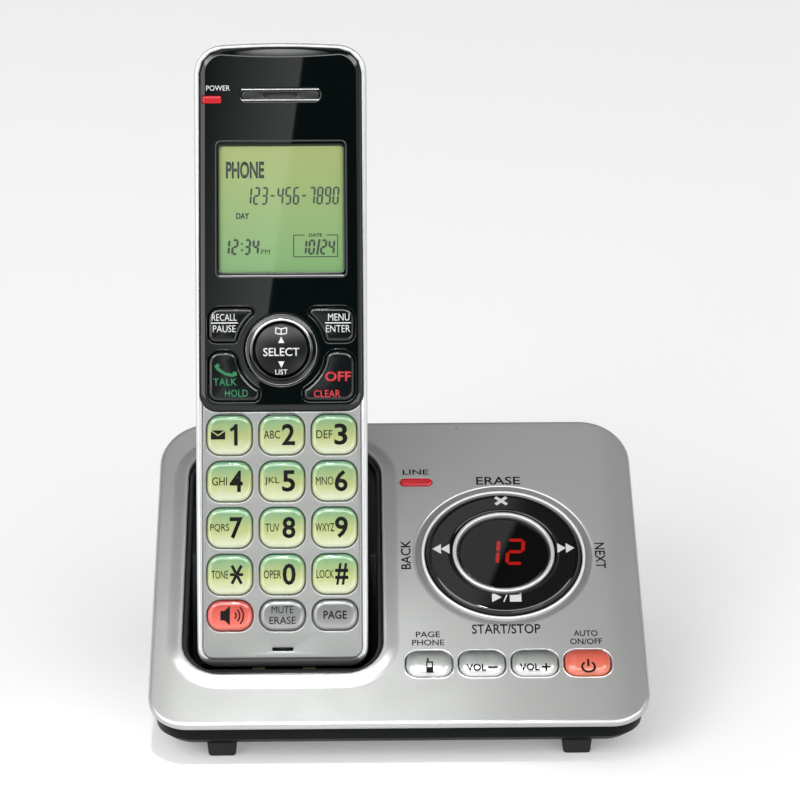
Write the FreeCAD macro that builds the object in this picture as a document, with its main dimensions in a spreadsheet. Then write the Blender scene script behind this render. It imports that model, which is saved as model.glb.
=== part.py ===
import FreeCAD, Part
import math
import operator
import os

import Sketcher

# A cordless telephone base with a digital answering system, and its handset in the charging cradle.
# World frame: X to the right, Y to the back, Z up, origin under the middle of the whole object.
# Three working frames keep the sizes simple:
#   base     x right, y back from the panel's front edge, z up from the table
#   panel    x right, y up the sloping panel, z out of it, origin on the panel's front edge
#   handset  x right, y from the chin to the earpiece, z out of the face, origin on the chin
document = FreeCAD.newDocument("AnsweringMachine")
sheet = document.addObject("Spreadsheet::Sheet", "Sizes")
OPERATIONS = {"+": operator.add, "-": operator.sub, "*": operator.mul, "/": operator.truediv}
# Two levels or radii closer than this count as the same, in millimetres.
SAME = 0.001
# A wall edge counts as upright when it climbs by this share of its length.
UPRIGHT_SHARE = 0.8
# A cut that takes away less than this, in cubic millimetres, has missed its sub-part.
SMALLEST_CUT = 0.01
# Keys in rows and columns
NUMBER_COLUMNS = 3
NUMBER_ROWS = 4
BASE_KEYS = 4
# A tool that cuts right through is this many times as big as what it cuts.
OVERSIZE = 2


class Size:
    """A length, an angle or a ratio of the model: its number and the sheet formula behind it."""

    def __init__(self, number, formula):
        self.number = number
        self.formula = formula

    def __add__(self, other):
        return joined(self, "+", other)

    def __radd__(self, other):
        return joined(other, "+", self)

    def __sub__(self, other):
        return joined(self, "-", other)

    def __rsub__(self, other):
        return joined(other, "-", self)

    def __mul__(self, other):
        return joined(self, "*", other)

    def __rmul__(self, other):
        return joined(other, "*", self)

    def __truediv__(self, other):
        return joined(self, "/", other)

    def __neg__(self):
        return joined(0, "-", self)


def as_size(amount):
    """Plain numbers join the formulas as they are."""
    if isinstance(amount, Size):
        return amount
    return Size(float(amount), "(%r)" % float(amount))


def joined(first, sign, second):
    """Two sizes joined by one of the four operations."""
    first = as_size(first)
    second = as_size(second)
    number = OPERATIONS[sign](first.number, second.number)
    return Size(number, "(%s %s %s)" % (first.formula, sign, second.formula))


def sine(angle):
    """Sine of an angle in degrees."""
    return Size(math.sin(math.radians(angle.number)), "sin(%s)" % angle.formula)


def cosine(angle):
    """Cosine of an angle in degrees."""
    return Size(math.cos(math.radians(angle.number)), "cos(%s)" % angle.formula)


def tangent(angle):
    """Tangent of an angle in degrees."""
    return Size(math.tan(math.radians(angle.number)), "tan(%s)" % angle.formula)


def root(amount):
    """Square root."""
    return Size(math.sqrt(amount.number), "sqrt(%s)" % amount.formula)


sheet_names = []


def size(name, number):
    """Write one driving size into the sheet and hand it back."""
    sheet_names.append(name)
    row = len(sheet_names)
    sheet.set("A%d" % row, name)
    sheet.set("B%d" % row, str(number))
    sheet.setAlias("B%d" % row, name)
    return Size(float(number), "Sizes." + name)


# Whole base, in millimetres and degrees
base_width = size("base_width", 136)
panel_length = size("panel_length", 108.4)
panel_slope = size("panel_slope", 25)
right_angle = size("right_angle", 90)
front_edge_height = size("front_edge_height", 13)
front_edge_back = size("front_edge_back", -61.8)
foot_height = size("foot_height", 4.5)

# Silver top cover
cover_wall = size("cover_wall", 2)
cover_front_corner = size("cover_front_corner", 11)
cover_back_corner = size("cover_back_corner", 14.5)
side_band = size("side_band", 10)
side_drop = size("side_drop", 0.8)
side_blend = size("side_blend", 60)
cover_overhang = size("cover_overhang", 1)
locating_rib = size("locating_rib", 1.2)
locating_depth = size("locating_depth", 2.5)

# Small rounded corners are simplified to straight cuts of this share of their radius.
corner_cut = size("corner_cut", 0.6)

# Black bottom cover
shell_wall = size("shell_wall", 2)
shell_front_corner = size("shell_front_corner", 11)
shell_back_corner = size("shell_back_corner", 13.5)
shell_bottom_bevel = size("shell_bottom_bevel", 2.8)
side_draft = size("side_draft", 6)
front_draft = size("front_draft", 13)
back_draft = size("back_draft", 2)
foot_width = size("foot_width", 8.2)
foot_length = size("foot_length", 10)
foot_corner = size("foot_corner", 1.5)
foot_draft = size("foot_draft", 5)
foot_inset = size("foot_inset", 19.8)
foot_offset = base_width / 2 - foot_inset
front_foot_back = size("front_foot_back", 11)
rear_foot_back = size("rear_foot_back", 76)

# Case screws and their bosses
screw_head_radius = size("screw_head_radius", 2.4)
screw_head_height = size("screw_head_height", 1.6)
screw_radius = size("screw_radius", 1.1)
running_gap = size("running_gap", 0.05)
screw_bite = size("screw_bite", 3.4)
boss_radius = size("boss_radius", 3)
well_radius = size("well_radius", 2.7)
well_wall = size("well_wall", 1)
well_root = size("well_root", 0.5)
pilot_play = size("pilot_play", 0.2)
boss_drop = size("boss_drop", 5)
seat_thickness = size("seat_thickness", 2)
front_screw_inset = size("front_screw_inset", 10)
front_screw_x = base_width / 2 - front_screw_inset
front_screw_back = size("front_screw_back", 10)
right_screw_share = size("right_screw_share", 0.180305132)
right_screw_back = size("right_screw_back", 84)
middle_screw_share = size("middle_screw_share", 0.453376)
middle_screw_back = size("middle_screw_back", 87)

# Cradle
cradle_inset = size("cradle_inset", 36.25)
cradle_width = size("cradle_width", 55.3)
cradle_x = cradle_inset - base_width / 2
cradle_side = cradle_x + cradle_width / 2
cradle_front = size("cradle_front", 16.6)
cradle_back = size("cradle_back", 98.6)
cradle_corner = size("cradle_corner", 11)
rim_width = size("rim_width", 2.5)
rim_height = size("rim_height", 1)
rim_lip = size("rim_lip", 0.3)
rim_land = size("rim_land", 0.03)
liner_wall = size("liner_wall", 1.5)
liner_gap = size("liner_gap", 0.1)
liner_flange = size("liner_flange", 1.6)
liner_shelf = size("liner_shelf", 4)
liner_front_shelf = size("liner_front_shelf", 4.5)
liner_floor_lift = size("liner_floor_lift", 0.2)
seat_gap = size("seat_gap", 0.8)
back_gap = size("back_gap", 0.4)
contact_gap = size("contact_gap", 0.3)
contact_slot_gap = size("contact_slot_gap", 0.2)

# Dial: the bright bezel, the rocking ring, its carrier and the counter window
# The dial and the keys share the width that the cradle leaves free.
free_width = base_width / 2 - cradle_side
dial_place = size("dial_place", 0.47295)
dial_share = size("dial_share", 0.6408)
dial_x = cradle_side + free_width * dial_place
dial_along = size("dial_along", 58.4)
bezel_diameter = free_width * dial_share
bezel_wall = size("bezel_wall", 0.8)
bezel_height = size("bezel_height", 0.3)
bezel_flange = size("bezel_flange", 1.4)
dish_width = size("dish_width", 2.2)
dish_depth = size("dish_depth", 0.6)
ring_gap = size("ring_gap", 0.45)
ring_crown = size("ring_crown", 1)
ring_edge_drop = size("ring_edge_drop", 0.7)
ring_wall = size("ring_wall", 1.4)
trim_share = size("trim_share", 0.6212)
trim_diameter = bezel_diameter * trim_share
trim_width = size("trim_width", 1.1)
trim_height = size("trim_height", 1.35)
trim_slope = trim_width / 3
trim_ridge_share = size("trim_ridge_share", 0.6)
trim_gap = size("trim_gap", 0.5)
window_wall = size("window_wall", 1.2)
hub_wall = size("hub_wall", 1.2)
pivot_depth = size("pivot_depth", 4.4)
pivot_radius = size("pivot_radius", 0.8)
pivot_play = size("pivot_play", 0.07)
lug_wall = size("lug_wall", 0.9)
lug_length = size("lug_length", 2)
carrier_width = size("carrier_width", 2.7)
carrier_height = size("carrier_height", 1.2)
carrier_gap = size("carrier_gap", 0.7)

# Base keys and the in-use light
base_key_along = size("base_key_along", 20)
base_key_share = size("base_key_share", 0.2001)
base_key_spacing = size("base_key_spacing", 1.43)
base_key_inset = size("base_key_inset", 12.3)
base_key_pitch = free_width * base_key_share
base_key_width = base_key_pitch - base_key_spacing
base_key_first_x = cradle_side + base_key_inset
base_key_height = size("base_key_height", 9.4)
base_key_corner = size("base_key_corner", 4.3)
base_key_proud = size("base_key_proud", 1.7)
base_key_bevel = size("base_key_bevel", 0.9)
base_key_travel = size("base_key_travel", 1.2)
key_gap = size("key_gap", 0.35)
key_flange_gap = size("key_flange_gap", 0.3)
key_flange_end = size("key_flange_end", 1.05)
key_flange_height = size("key_flange_height", 1)
light_inset = size("light_inset", 10)
light_rise = size("light_rise", 26.8)
light_x = cradle_side + light_inset
light_along = dial_along + light_rise
light_length = size("light_length", 9.2)
light_width = size("light_width", 2.8)
light_proud = size("light_proud", 0.4)

# Base electronics
board_depth = size("board_depth", 8.5)
board_thickness = size("board_thickness", 1.6)
board_inset = size("board_inset", 5.1)
board_margin = size("board_margin", 6)
board_left = cradle_side + board_inset
board_right = base_width / 2 - board_margin
board_front = size("board_front", 13.8)
board_back = size("board_back", 83)
post_radius = size("post_radius", 2)
post_margin = size("post_margin", 1)
mat_thickness = size("mat_thickness", 1)
dome_width = size("dome_width", 4.4)
display_width_share = size("display_width_share", 0.5226)
display_length_share = size("display_length_share", 0.662)
display_width = trim_diameter * display_width_share
display_length = trim_diameter * display_length_share
speaker_shift = size("speaker_shift", 2)
speaker_x = dial_x + speaker_shift
speaker_back = size("speaker_back", 52)
speaker_radius = size("speaker_radius", 18)
speaker_height = size("speaker_height", 9)
grille_slot = size("grille_slot", 1.8)
grille_pitch = size("grille_pitch", 4.2)
grille_share = size("grille_share", 0.75)
basket_share = size("basket_share", 0.45)
basket_rim = size("basket_rim", 1.5)
magnet_share = size("magnet_share", 0.6)
power_jack_share = size("power_jack_share", 0.360610264)
jack_spacing = size("jack_spacing", 15)
power_jack_x = base_width / 2 - free_width * power_jack_share
line_jack_x = power_jack_x - jack_spacing
middle_screw_x = cradle_side + (line_jack_x - cradle_side) * middle_screw_share
right_screw_x = base_width / 2 - free_width * right_screw_share
jack_height = size("jack_height", 17)
line_socket_width = size("line_socket_width", 9.8)
line_socket_height = size("line_socket_height", 7)
line_socket_depth = size("line_socket_depth", 13)
jack_wall = size("jack_wall", 1.5)
jack_gap = size("jack_gap", 0.3)
latch_share = size("latch_share", 0.6)
power_socket_radius = size("power_socket_radius", 3.2)
power_pin_radius = size("power_pin_radius", 1)
power_socket_depth = size("power_socket_depth", 10)

# Whole handset
handset_lean = size("handset_lean", 28)
chin_along = size("chin_along", 22)
chin_above = size("chin_above", -3)
handset_length = size("handset_length", 173.7)
handset_top_width = size("handset_top_width", 48.3)
handset_bottom_width = size("handset_bottom_width", 46.7)
handset_thickness = size("handset_thickness", 26)
handset_top_corner = size("handset_top_corner", 8.2)
handset_bottom_corner = size("handset_bottom_corner", 5)
handset_crown = size("handset_crown", 1.4)
handset_crown_round = size("handset_crown_round", 240)
face_bevel = size("face_bevel", 1.2)
back_bevel = size("back_bevel", 3.6)
parting_depth = size("parting_depth", 10.5)
case_wall = size("case_wall", 1.8)
face_wall = size("face_wall", 2.8)
panel_thickness = size("panel_thickness", 1.6)
groove = size("groove", 0.3)

# Keypad panel and face plate
handset_play = size("handset_play", 0.3)
keypad_half_width = size("keypad_half_width", 21.7)
keypad_bottom = size("keypad_bottom", 1.9)
plate_half_width = size("plate_half_width", 22.6)
plate_top_margin = size("plate_top_margin", 1.3)
plate_bottom_corner = size("plate_bottom_corner", 5)
plate_proud = size("plate_proud", 0.5)
plate_bevel_width = size("plate_bevel_width", 1.7)
plate_bevel_height = size("plate_bevel_height", 0.6)
plate_gap = size("plate_gap", 0.1)

# Handset keys
number_key_width = size("number_key_width", 12.2)
number_key_corner = size("number_key_corner", 3.6)
number_column_pitch = size("number_column_pitch", 14.42)
function_row = size("function_row", 13.9)
function_key_height = size("function_key_height", 8.1)
handset_key_proud = size("handset_key_proud", 0.9)
handset_key_bevel = size("handset_key_bevel", 0.6)
handset_key_travel = size("handset_key_travel", 0.7)
handset_flange_height = size("handset_flange_height", 0.8)
side_flange = size("side_flange", 0.6)
end_flange = size("end_flange", 0.5)
navigation_up = size("navigation_up", 87)
navigation_diameter = size("navigation_diameter", 19.7)
navigation_key_diameter = size("navigation_key_diameter", 14.9)
navigation_ring_height = size("navigation_ring_height", 1.7)
navigation_dome = size("navigation_dome", 2)
navigation_clearance = size("navigation_clearance", 12.7)
soft_key_outer = size("soft_key_outer", 20)
soft_key_round = size("soft_key_round", 1)
soft_key_proud = size("soft_key_proud", 0.7)
menu_keys_rise = size("menu_keys_rise", 2.2)
menu_keys_height = size("menu_keys_height", 9.45)
menu_keys_near = navigation_up + menu_keys_rise
menu_keys_far = menu_keys_near + menu_keys_height
menu_keys_inner = size("menu_keys_inner", 7.8)
talk_keys_drop = size("talk_keys_drop", 0.5)
talk_keys_height = size("talk_keys_height", 13.6)
talk_keys_near = navigation_up - talk_keys_drop
talk_keys_far = talk_keys_near - talk_keys_height
talk_keys_inner = size("talk_keys_inner", 6.2)
plate_drop = size("plate_drop", 2.8)
plate_bottom = talk_keys_far - plate_drop
keypad_lap = size("keypad_lap", 4.9)
keypad_top = plate_bottom + keypad_lap
# The number keys fill the length between the function row and the talk and off keys.
number_keys_drop = size("number_keys_drop", 4)
number_keys_rise = size("number_keys_rise", 1.72)
number_row_gap = size("number_row_gap", 2.01)
number_keys_top = talk_keys_far - number_keys_drop
number_keys_bottom = function_row + function_key_height / 2 + number_keys_rise
number_row_pitch = (number_keys_top - number_keys_bottom + number_row_gap) / NUMBER_ROWS
number_key_height = number_row_pitch - number_row_gap
number_top_row = number_keys_top - number_key_height / 2
soft_key_waist = size("soft_key_waist", 0.8)

# Screen, earpiece, charge light and microphone
screen_half_width = size("screen_half_width", 18.3)
screen_rise = size("screen_rise", 19.6)
screen_drop = size("screen_drop", 27.7)
screen_bottom = navigation_up + screen_rise
screen_top = handset_length - screen_drop
screen_thickness = size("screen_thickness", 2.8)
earpiece_drop = size("earpiece_drop", 15.4)
earpiece_up = handset_length - earpiece_drop
earpiece_width = size("earpiece_width", 22)
earpiece_height = size("earpiece_height", 3.2)
earpiece_slot_width = size("earpiece_slot_width", 9.2)
earpiece_slot_height = size("earpiece_slot_height", 1.2)
receiver_radius = size("receiver_radius", 7.5)
receiver_depth = size("receiver_depth", 5)
charge_light_x = size("charge_light_x", -19)
charge_light_drop = size("charge_light_drop", 16.6)
charge_light_up = handset_length - charge_light_drop
charge_light_length = size("charge_light_length", 5.3)
charge_light_width = size("charge_light_width", 2.2)
microphone_up = size("microphone_up", 4.2)
microphone_radius = size("microphone_radius", 1.7)
microphone_slot_width = size("microphone_slot_width", 6)
microphone_slot_height = size("microphone_slot_height", 1.2)

# Handset inside and back
handset_board_depth = size("handset_board_depth", 5)
handset_board_thickness = size("handset_board_thickness", 1.2)
handset_board_half_width = size("handset_board_half_width", 20.2)
handset_board_bottom = size("handset_board_bottom", 2.4)
handset_board_drop = size("handset_board_drop", 5.2)
mat_margin_top = size("mat_margin_top", 0.85)
handset_board_top = handset_length - handset_board_drop
handset_mat_top = menu_keys_far + mat_margin_top
handset_mat_bottom = size("handset_mat_bottom", 8)
# The case screws stand between the soft keys and the screen, above the battery and under its door.
handset_screw_rise = size("handset_screw_rise", 4.35)
handset_screw_up = menu_keys_far + handset_screw_rise
battery_drop = size("battery_drop", 12)
battery_cell_diameter = size("battery_cell_diameter", 10.5)
battery_gap = size("battery_gap", 0.5)
battery_bottom = size("battery_bottom", 46)
battery_length = handset_screw_up - battery_drop - battery_bottom
well_thickness = size("well_thickness", 1.8)
hollow_depth = size("hollow_depth", 9)
door_half_width = size("door_half_width", 18.2)
door_bottom = size("door_bottom", 38)
door_cover = size("door_cover", 5)
door_top = handset_screw_up + door_cover
door_wall = size("door_wall", 1.5)
door_gap = size("door_gap", 0.3)
door_corner = size("door_corner", 2.5)
grip_radius = size("grip_radius", 6.5)
grip_depth = size("grip_depth", 0.6)
grip_rise = size("grip_rise", 10.4)
heel_thickness = size("heel_thickness", 22)
heel_chamfer = size("heel_chamfer", 2.5)
tongue_width = size("tongue_width", 1)
tongue_thickness = size("tongue_thickness", 0.75)
tongue_play = size("tongue_play", 0.15)
tongue_bottom = size("tongue_bottom", 52)
tongue_margin = size("tongue_margin", 10)
tongue_top = door_top - tongue_margin
door_travel = size("door_travel", 5)
handset_screw_x = size("handset_screw_x", 14)
handset_screw_radius = size("handset_screw_radius", 1)
handset_screw_head = size("handset_screw_head", 2)
handset_boss_radius = size("handset_boss_radius", 2.4)
boss_root = size("boss_root", 0.4)
board_stop_radius = size("board_stop_radius", 1.3)
board_stop_x = size("board_stop_x", 16)
board_stop_bottom = size("board_stop_bottom", 5.5)
board_stop_drop = size("board_stop_drop", 24.2)
board_stop_top = handset_length - board_stop_drop
contact_x = size("contact_x", 7)
contact_depth = size("contact_depth", 14.5)
contact_width = size("contact_width", 3.6)
contact_length = size("contact_length", 5)
contact_wall = size("contact_wall", 0.4)
contact_leg = size("contact_leg", 3)
contact_tail = size("contact_tail", 0.75)

# The angle between the handset and the panel
handset_rise = right_angle - handset_lean - panel_slope

document.recompute()


def bind(thing, path, amount):
    """Tie a property or a constraint to a size."""
    thing.setExpression(path, as_size(amount).formula)


def place(thing, frame):
    """Put a sub-part that is drawn in a working frame at its place in the world."""
    chin_y, chin_z = panel_point(chin_along, chin_above)
    shift = {"base": (0, 0), "panel": (0, front_edge_height), "handset": (chin_y, chin_z)}[frame]
    turn = {"base": 0, "panel": panel_slope, "handset": right_angle - handset_lean}[frame]
    thing.Placement = FreeCAD.Placement(
        FreeCAD.Vector(0, 0, 0), FreeCAD.Rotation(FreeCAD.Vector(1, 0, 0), as_size(turn).number)
    )
    if frame == "handset":
        bind(thing, "Placement.Base.x", cradle_x)
    bind(thing, "Placement.Base.y", front_edge_back + shift[0])
    bind(thing, "Placement.Base.z", shift[1])
    if frame != "base":
        bind(thing, "Placement.Rotation.Angle", turn)


def panel_point(along, above):
    """Base-frame y and z of a point given along and above the panel."""
    back = along * cosine(panel_slope) - above * sine(panel_slope)
    up = front_edge_height + along * sine(panel_slope) + above * cosine(panel_slope)
    return back, up


sub_parts = []


def new_body(label, frame=None, several_solids=False):
    """A body in a working frame. Bodies with no frame are only tools for another one's shape."""
    body = document.addObject("PartDesign::Body", label)
    body.Label = label
    body.AllowCompound = several_solids
    if frame:
        place(body, frame)
        sub_parts.append(body)
    return body


def origin_item(body, role):
    """One of the body's own origin planes or axes."""
    return [item for item in body.Origin.OriginFeatures if item.Role == role][0]


def sketch_on(body, plane, level=0):
    """A sketch on the body's plane XY, XZ or YZ, moved along the axis that crosses the plane."""
    sketch = body.newObject("Sketcher::SketchObject", "Sketch")
    sketch.AttachmentSupport = [(origin_item(body, plane + "_Plane"), "")]
    sketch.MapMode = "FlatFace"
    # The XZ plane's normal points to the front, so a level along Y counts backwards on it.
    bind(sketch, "AttachmentOffset.Base.z", -as_size(level) if plane == "XZ" else level)
    return sketch


def tilt(sketch, angle, height=0):
    """Turn a sketch about its own x axis, and lift it along its new normal."""
    sketch.AttachmentOffset = FreeCAD.Placement(
        FreeCAD.Vector(0, 0, 0), FreeCAD.Rotation(FreeCAD.Vector(1, 0, 0), as_size(angle).number)
    )
    bind(sketch, "AttachmentOffset.Rotation.Angle", angle)
    bind(sketch, "AttachmentOffset.Base.y", -sine(angle) * height)
    bind(sketch, "AttachmentOffset.Base.z", cosine(angle) * height)


def add_rule(sketch, kind, *where):
    """One sketch constraint. A size at its end becomes its formula."""
    amount = where[-1]
    if not isinstance(amount, Size):
        sketch.addConstraint(Sketcher.Constraint(kind, *where))
        return
    rule = sketch.addConstraint(Sketcher.Constraint(kind, *where[:-1], amount.number))
    bind(sketch, "Constraints[%d]" % rule, amount)


def pin(sketch, geometry, point, x, y):
    """Fix a point of the sketch at x and y."""
    add_rule(sketch, "DistanceX", -1, 1, geometry, point, as_size(x))
    add_rule(sketch, "DistanceY", -1, 1, geometry, point, as_size(y))


def draw_outline(sketch, corners):
    """Draw a closed outline through corners given as (x, y) or (x, y, rounding radius)."""
    count = len(corners)
    rounds = [corner[2] if len(corner) > 2 else None for corner in corners]
    points = [FreeCAD.Vector(as_size(c[0]).number, as_size(c[1]).number, 0) for c in corners]
    begins = []
    ends = []
    arcs = []
    for index, point in enumerate(points):
        before = (points[index - 1] - point).normalize()
        after = (points[(index + 1) % count] - point).normalize()
        if rounds[index] is None:
            begins.append(point)
            ends.append(point)
            arcs.append(None)
            continue
        half = before.getAngle(after) / 2
        radius = as_size(rounds[index]).number
        reach = radius / math.tan(half)
        begins.append(point + before * reach)
        ends.append(point + after * reach)
        centre = point + (before + after).normalize() * (radius / math.sin(half))
        turns_left = before.cross(after).z < 0
        first, last = (begins[-1], ends[-1]) if turns_left else (ends[-1], begins[-1])
        start = math.atan2(first.y - centre.y, first.x - centre.x)
        stop = math.atan2(last.y - centre.y, last.x - centre.x)
        circle = Part.Circle(centre, FreeCAD.Vector(0, 0, 1), radius)
        arcs.append((Part.ArcOfCircle(circle, start, stop), turns_left))
    lines = []
    for index in range(count):
        side = Part.LineSegment(ends[index], begins[(index + 1) % count])
        lines.append(sketch.addGeometry(side))
    for index, corner in enumerate(corners):
        incoming = lines[index - 1]
        outgoing = lines[index]
        if rounds[index] is None:
            add_rule(sketch, "Coincident", incoming, 2, outgoing, 1)
            pin(sketch, outgoing, 1, corner[0], corner[1])
            continue
        shape, turns_left = arcs[index]
        arc = sketch.addGeometry(shape)
        mark = sketch.addGeometry(Part.Point(points[index]), True)
        pin(sketch, mark, 1, corner[0], corner[1])
        add_rule(sketch, "PointOnObject", mark, 1, incoming)
        add_rule(sketch, "PointOnObject", mark, 1, outgoing)
        near, far = (1, 2) if turns_left else (2, 1)
        add_rule(sketch, "Tangent", incoming, 2, arc, near)
        add_rule(sketch, "Tangent", outgoing, 1, arc, far)
        add_rule(sketch, "Radius", arc, as_size(rounds[index]))


def draw_box(sketch, x, y, width, height, corner=None):
    """Draw a rectangle about its middle, with rounded corners where a radius is given."""
    left, right = x - width / 2, x + width / 2
    low, high = y - height / 2, y + height / 2
    spots = [(left, low), (right, low), (right, high), (left, high)]
    draw_outline(sketch, [spot + (corner,) if corner is not None else spot for spot in spots])


def draw_cut_box(sketch, x, y, width, height, corner):
    """Draw a rectangle about its middle whose rounded corners are simplified to straight cuts."""
    left, right = x - width / 2, x + width / 2
    low, high = y - height / 2, y + height / 2
    cut = corner * corner_cut
    draw_outline(
        sketch,
        [
            (left + cut, low),
            (right - cut, low),
            (right, low + cut),
            (right, high - cut),
            (right - cut, high),
            (left + cut, high),
            (left, high - cut),
            (left, low + cut),
        ],
    )


def draw_circle(sketch, x, y, radius):
    """Draw a circle."""
    centre = FreeCAD.Vector(as_size(x).number, as_size(y).number, 0)
    circle = sketch.addGeometry(Part.Circle(centre, FreeCAD.Vector(0, 0, 1), as_size(radius).number))
    pin(sketch, circle, 3, x, y)
    add_rule(sketch, "Radius", circle, as_size(radius))


def pad(body, sketch, length, other_way=False, both_ways=False, draft=None):
    """Add the sketch's area to the body, along its normal."""
    feature = body.newObject("PartDesign::Pad", "Pad")
    feature.Profile = sketch
    feature.Reversed = other_way
    if both_ways:
        feature.SideType = "Symmetric"
    bind(feature, "Length", length)
    if draft is not None:
        bind(feature, "TaperAngle", draft)
    return feature


def pocket(body, sketch, length=None, other_way=False, both_ways=False):
    """Cut the sketch's area out of the body, against its normal, or right through with no length."""
    feature = body.newObject("PartDesign::Pocket", "Pocket")
    feature.Profile = sketch
    feature.Reversed = other_way
    if both_ways:
        feature.SideType = "Symmetric"
    if length is None:
        feature.Type = "ThroughAll"
    else:
        bind(feature, "Length", length)
    return feature


def turned(body, x, y, corners):
    """Add a turned form about an upright axis at x, y from its half section."""
    sketch = sketch_on(body, "XZ", y)
    bind(sketch, "AttachmentOffset.Base.x", x)
    draw_outline(sketch, corners)
    feature = body.newObject("PartDesign::Revolution", "Revolution")
    feature.Profile = sketch
    feature.ReferenceAxis = (sketch, ["V_Axis"])
    feature.Angle = 360
    return feature


def repeat(body, feature, steps):
    """Repeat a feature along X and Y: steps are (axis, how many, pitch)."""
    multiple = body.newObject("PartDesign::MultiTransform", "MultiTransform")
    multiple.Originals = [feature]
    patterns = []
    for axis, copies, pitch in steps:
        pattern = body.newObject("PartDesign::LinearPattern", "LinearPattern")
        pattern.Direction = (origin_item(body, axis + "_Axis"), [""])
        pattern.Occurrences = copies
        bind(pattern, "Length", (copies - 1) * as_size(pitch))
        patterns.append(pattern)
    multiple.Transformations = patterns
    body.Tip = multiple
    return multiple


def soften(body, kind, wanted, amount, second_amount=None):
    """Fillet or chamfer the body's edges for which a test of the edge and its faces holds."""
    document.recompute()
    shape = body.Tip.Shape
    names = []
    for index, edge in enumerate(shape.Edges):
        if wanted(edge, shape.ancestorsOfType(edge, Part.Face)):
            names.append("Edge%d" % (index + 1))
    base = body.Tip
    feature = body.newObject("PartDesign::" + kind, kind)
    feature.Base = (base, names)
    if kind == "Fillet":
        bind(feature, "Radius", amount)
        return feature
    bind(feature, "Size", amount)
    if second_amount is not None:
        feature.ChamferType = "Two distances"
        bind(feature, "Size2", second_amount)
    return feature


def lies_at(edge, level):
    """Does the whole edge lie at this level?"""
    box = edge.BoundBox
    height = as_size(level).number
    return abs(box.ZMin - height) < SAME and abs(box.ZMax - height) < SAME


def is_round(edge, radius):
    """Is the edge a circle of this radius?"""
    return edge.Curve.TypeId == "Part::GeomCircle" and abs(edge.Curve.Radius - radius.number) < SAME


def is_flat(face):
    """Is the face plane?"""
    return face.Surface.TypeId == "Part::GeomPlane"


def is_corner(edge, faces):
    """Is the edge a sharp, nearly upright corner between two plane walls?"""
    rise = edge.BoundBox.ZLength
    return rise > UPRIGHT_SHARE * edge.Length and all(is_flat(face) for face in faces)


def cut_away(label, frame, base, tool):
    """The base body less the tool body, both drawn in the same working frame."""
    result = document.addObject("Part::Cut", label)
    result.Base = base
    result.Tool = tool
    result.Label = label
    place(result, frame)
    sub_parts.append(result)
    return result


# Black bottom cover: a drafted wedge under the sloping panel, open at the top


def wedge(label, frame, inset):
    """The wedge of the bottom cover, or its cavity where an inset is given."""
    rise = inset * OVERSIZE
    front_back, front_up = panel_point(cover_overhang, -cover_wall)
    rear_back, rear_up = panel_point(panel_length - cover_overhang, -cover_wall)
    floor = foot_height + inset
    front = front_back + inset / cosine(front_draft)
    rear = rear_back - inset / cosine(back_draft)
    body = new_body(label, frame)
    profile = sketch_on(body, "YZ")
    draw_outline(
        profile,
        [
            (front - rise * tangent(front_draft), front_up + rise),
            (front + (front_up - floor) * tangent(front_draft), floor),
            (rear - (rear_up - floor) * tangent(back_draft), floor),
            (rear + rise * tangent(back_draft), rear_up + rise),
        ],
    )
    pad(body, profile, base_width, both_ways=True)
    # The side walls lean in below the panel, so the waste on both sides is cut off.
    waste = sketch_on(body, "XZ")
    tilt(waste, panel_slope)
    half = base_width / 2 - cover_overhang - inset / cosine(side_draft)
    level = front_edge_height * cosine(panel_slope) - cover_wall
    top = level + rise * OVERSIZE
    bottom = level - panel_length * sine(panel_slope) - front_edge_height * OVERSIZE
    for side in (1, -1):
        draw_outline(
            waste,
            [
                (side * (half + (top - level) * tangent(side_draft)), top),
                (side * (half - (level - bottom) * tangent(side_draft)), bottom),
                (side * base_width, bottom),
                (side * base_width, top),
            ],
        )
    pocket(body, waste, both_ways=True)
    middle = as_size(panel_length / 2).number
    soften(
        body,
        "Fillet",
        lambda edge, faces: is_corner(edge, faces) and edge.CenterOfMass.y < middle,
        shell_front_corner - inset,
    )
    soften(
        body,
        "Fillet",
        lambda edge, faces: is_corner(edge, faces) and edge.CenterOfMass.y > middle,
        shell_back_corner - inset,
    )
    return body


def under_panel(back):
    """Height of the cover's underside over a base-frame y."""
    return front_edge_height + back * tangent(panel_slope) - cover_wall / cosine(panel_slope)


# Case screws: where they stand, and the height at which the two covers' bosses meet
screw_places = [
    (-front_screw_x, front_screw_back),
    (front_screw_x, front_screw_back),
    (right_screw_x, right_screw_back),
    (middle_screw_x, middle_screw_back),
]
bottom_cover = wedge("base_bottom_cover", "base", as_size(0))
soften(
    bottom_cover,
    "Chamfer",
    lambda edge, faces: lies_at(edge, foot_height),
    shell_bottom_bevel,
)
cavity = wedge("bottom_cover_cavity", None, shell_wall)
hollow = bottom_cover.newObject("PartDesign::Boolean", "Hollow")
hollow.Type = "Cut"
hollow.setObjects([cavity])
floor_top = foot_height + shell_wall
for screw_x, screw_back in screw_places:
    meeting = under_panel(screw_back) - boss_drop
    well = sketch_on(bottom_cover, "XY", floor_top - well_root)
    draw_circle(well, screw_x, screw_back, well_radius + well_wall)
    pad(bottom_cover, well, meeting - floor_top + well_root)
for screw_x, screw_back in screw_places:
    meeting = under_panel(screw_back) - boss_drop
    head_well = sketch_on(bottom_cover, "XY", meeting - seat_thickness)
    draw_circle(head_well, screw_x, screw_back, well_radius)
    pocket(bottom_cover, head_well)
    screw_hole = sketch_on(bottom_cover, "XY", meeting)
    draw_circle(screw_hole, screw_x, screw_back, screw_radius + running_gap)
    pocket(bottom_cover, screw_hole, seat_thickness * OVERSIZE)


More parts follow.
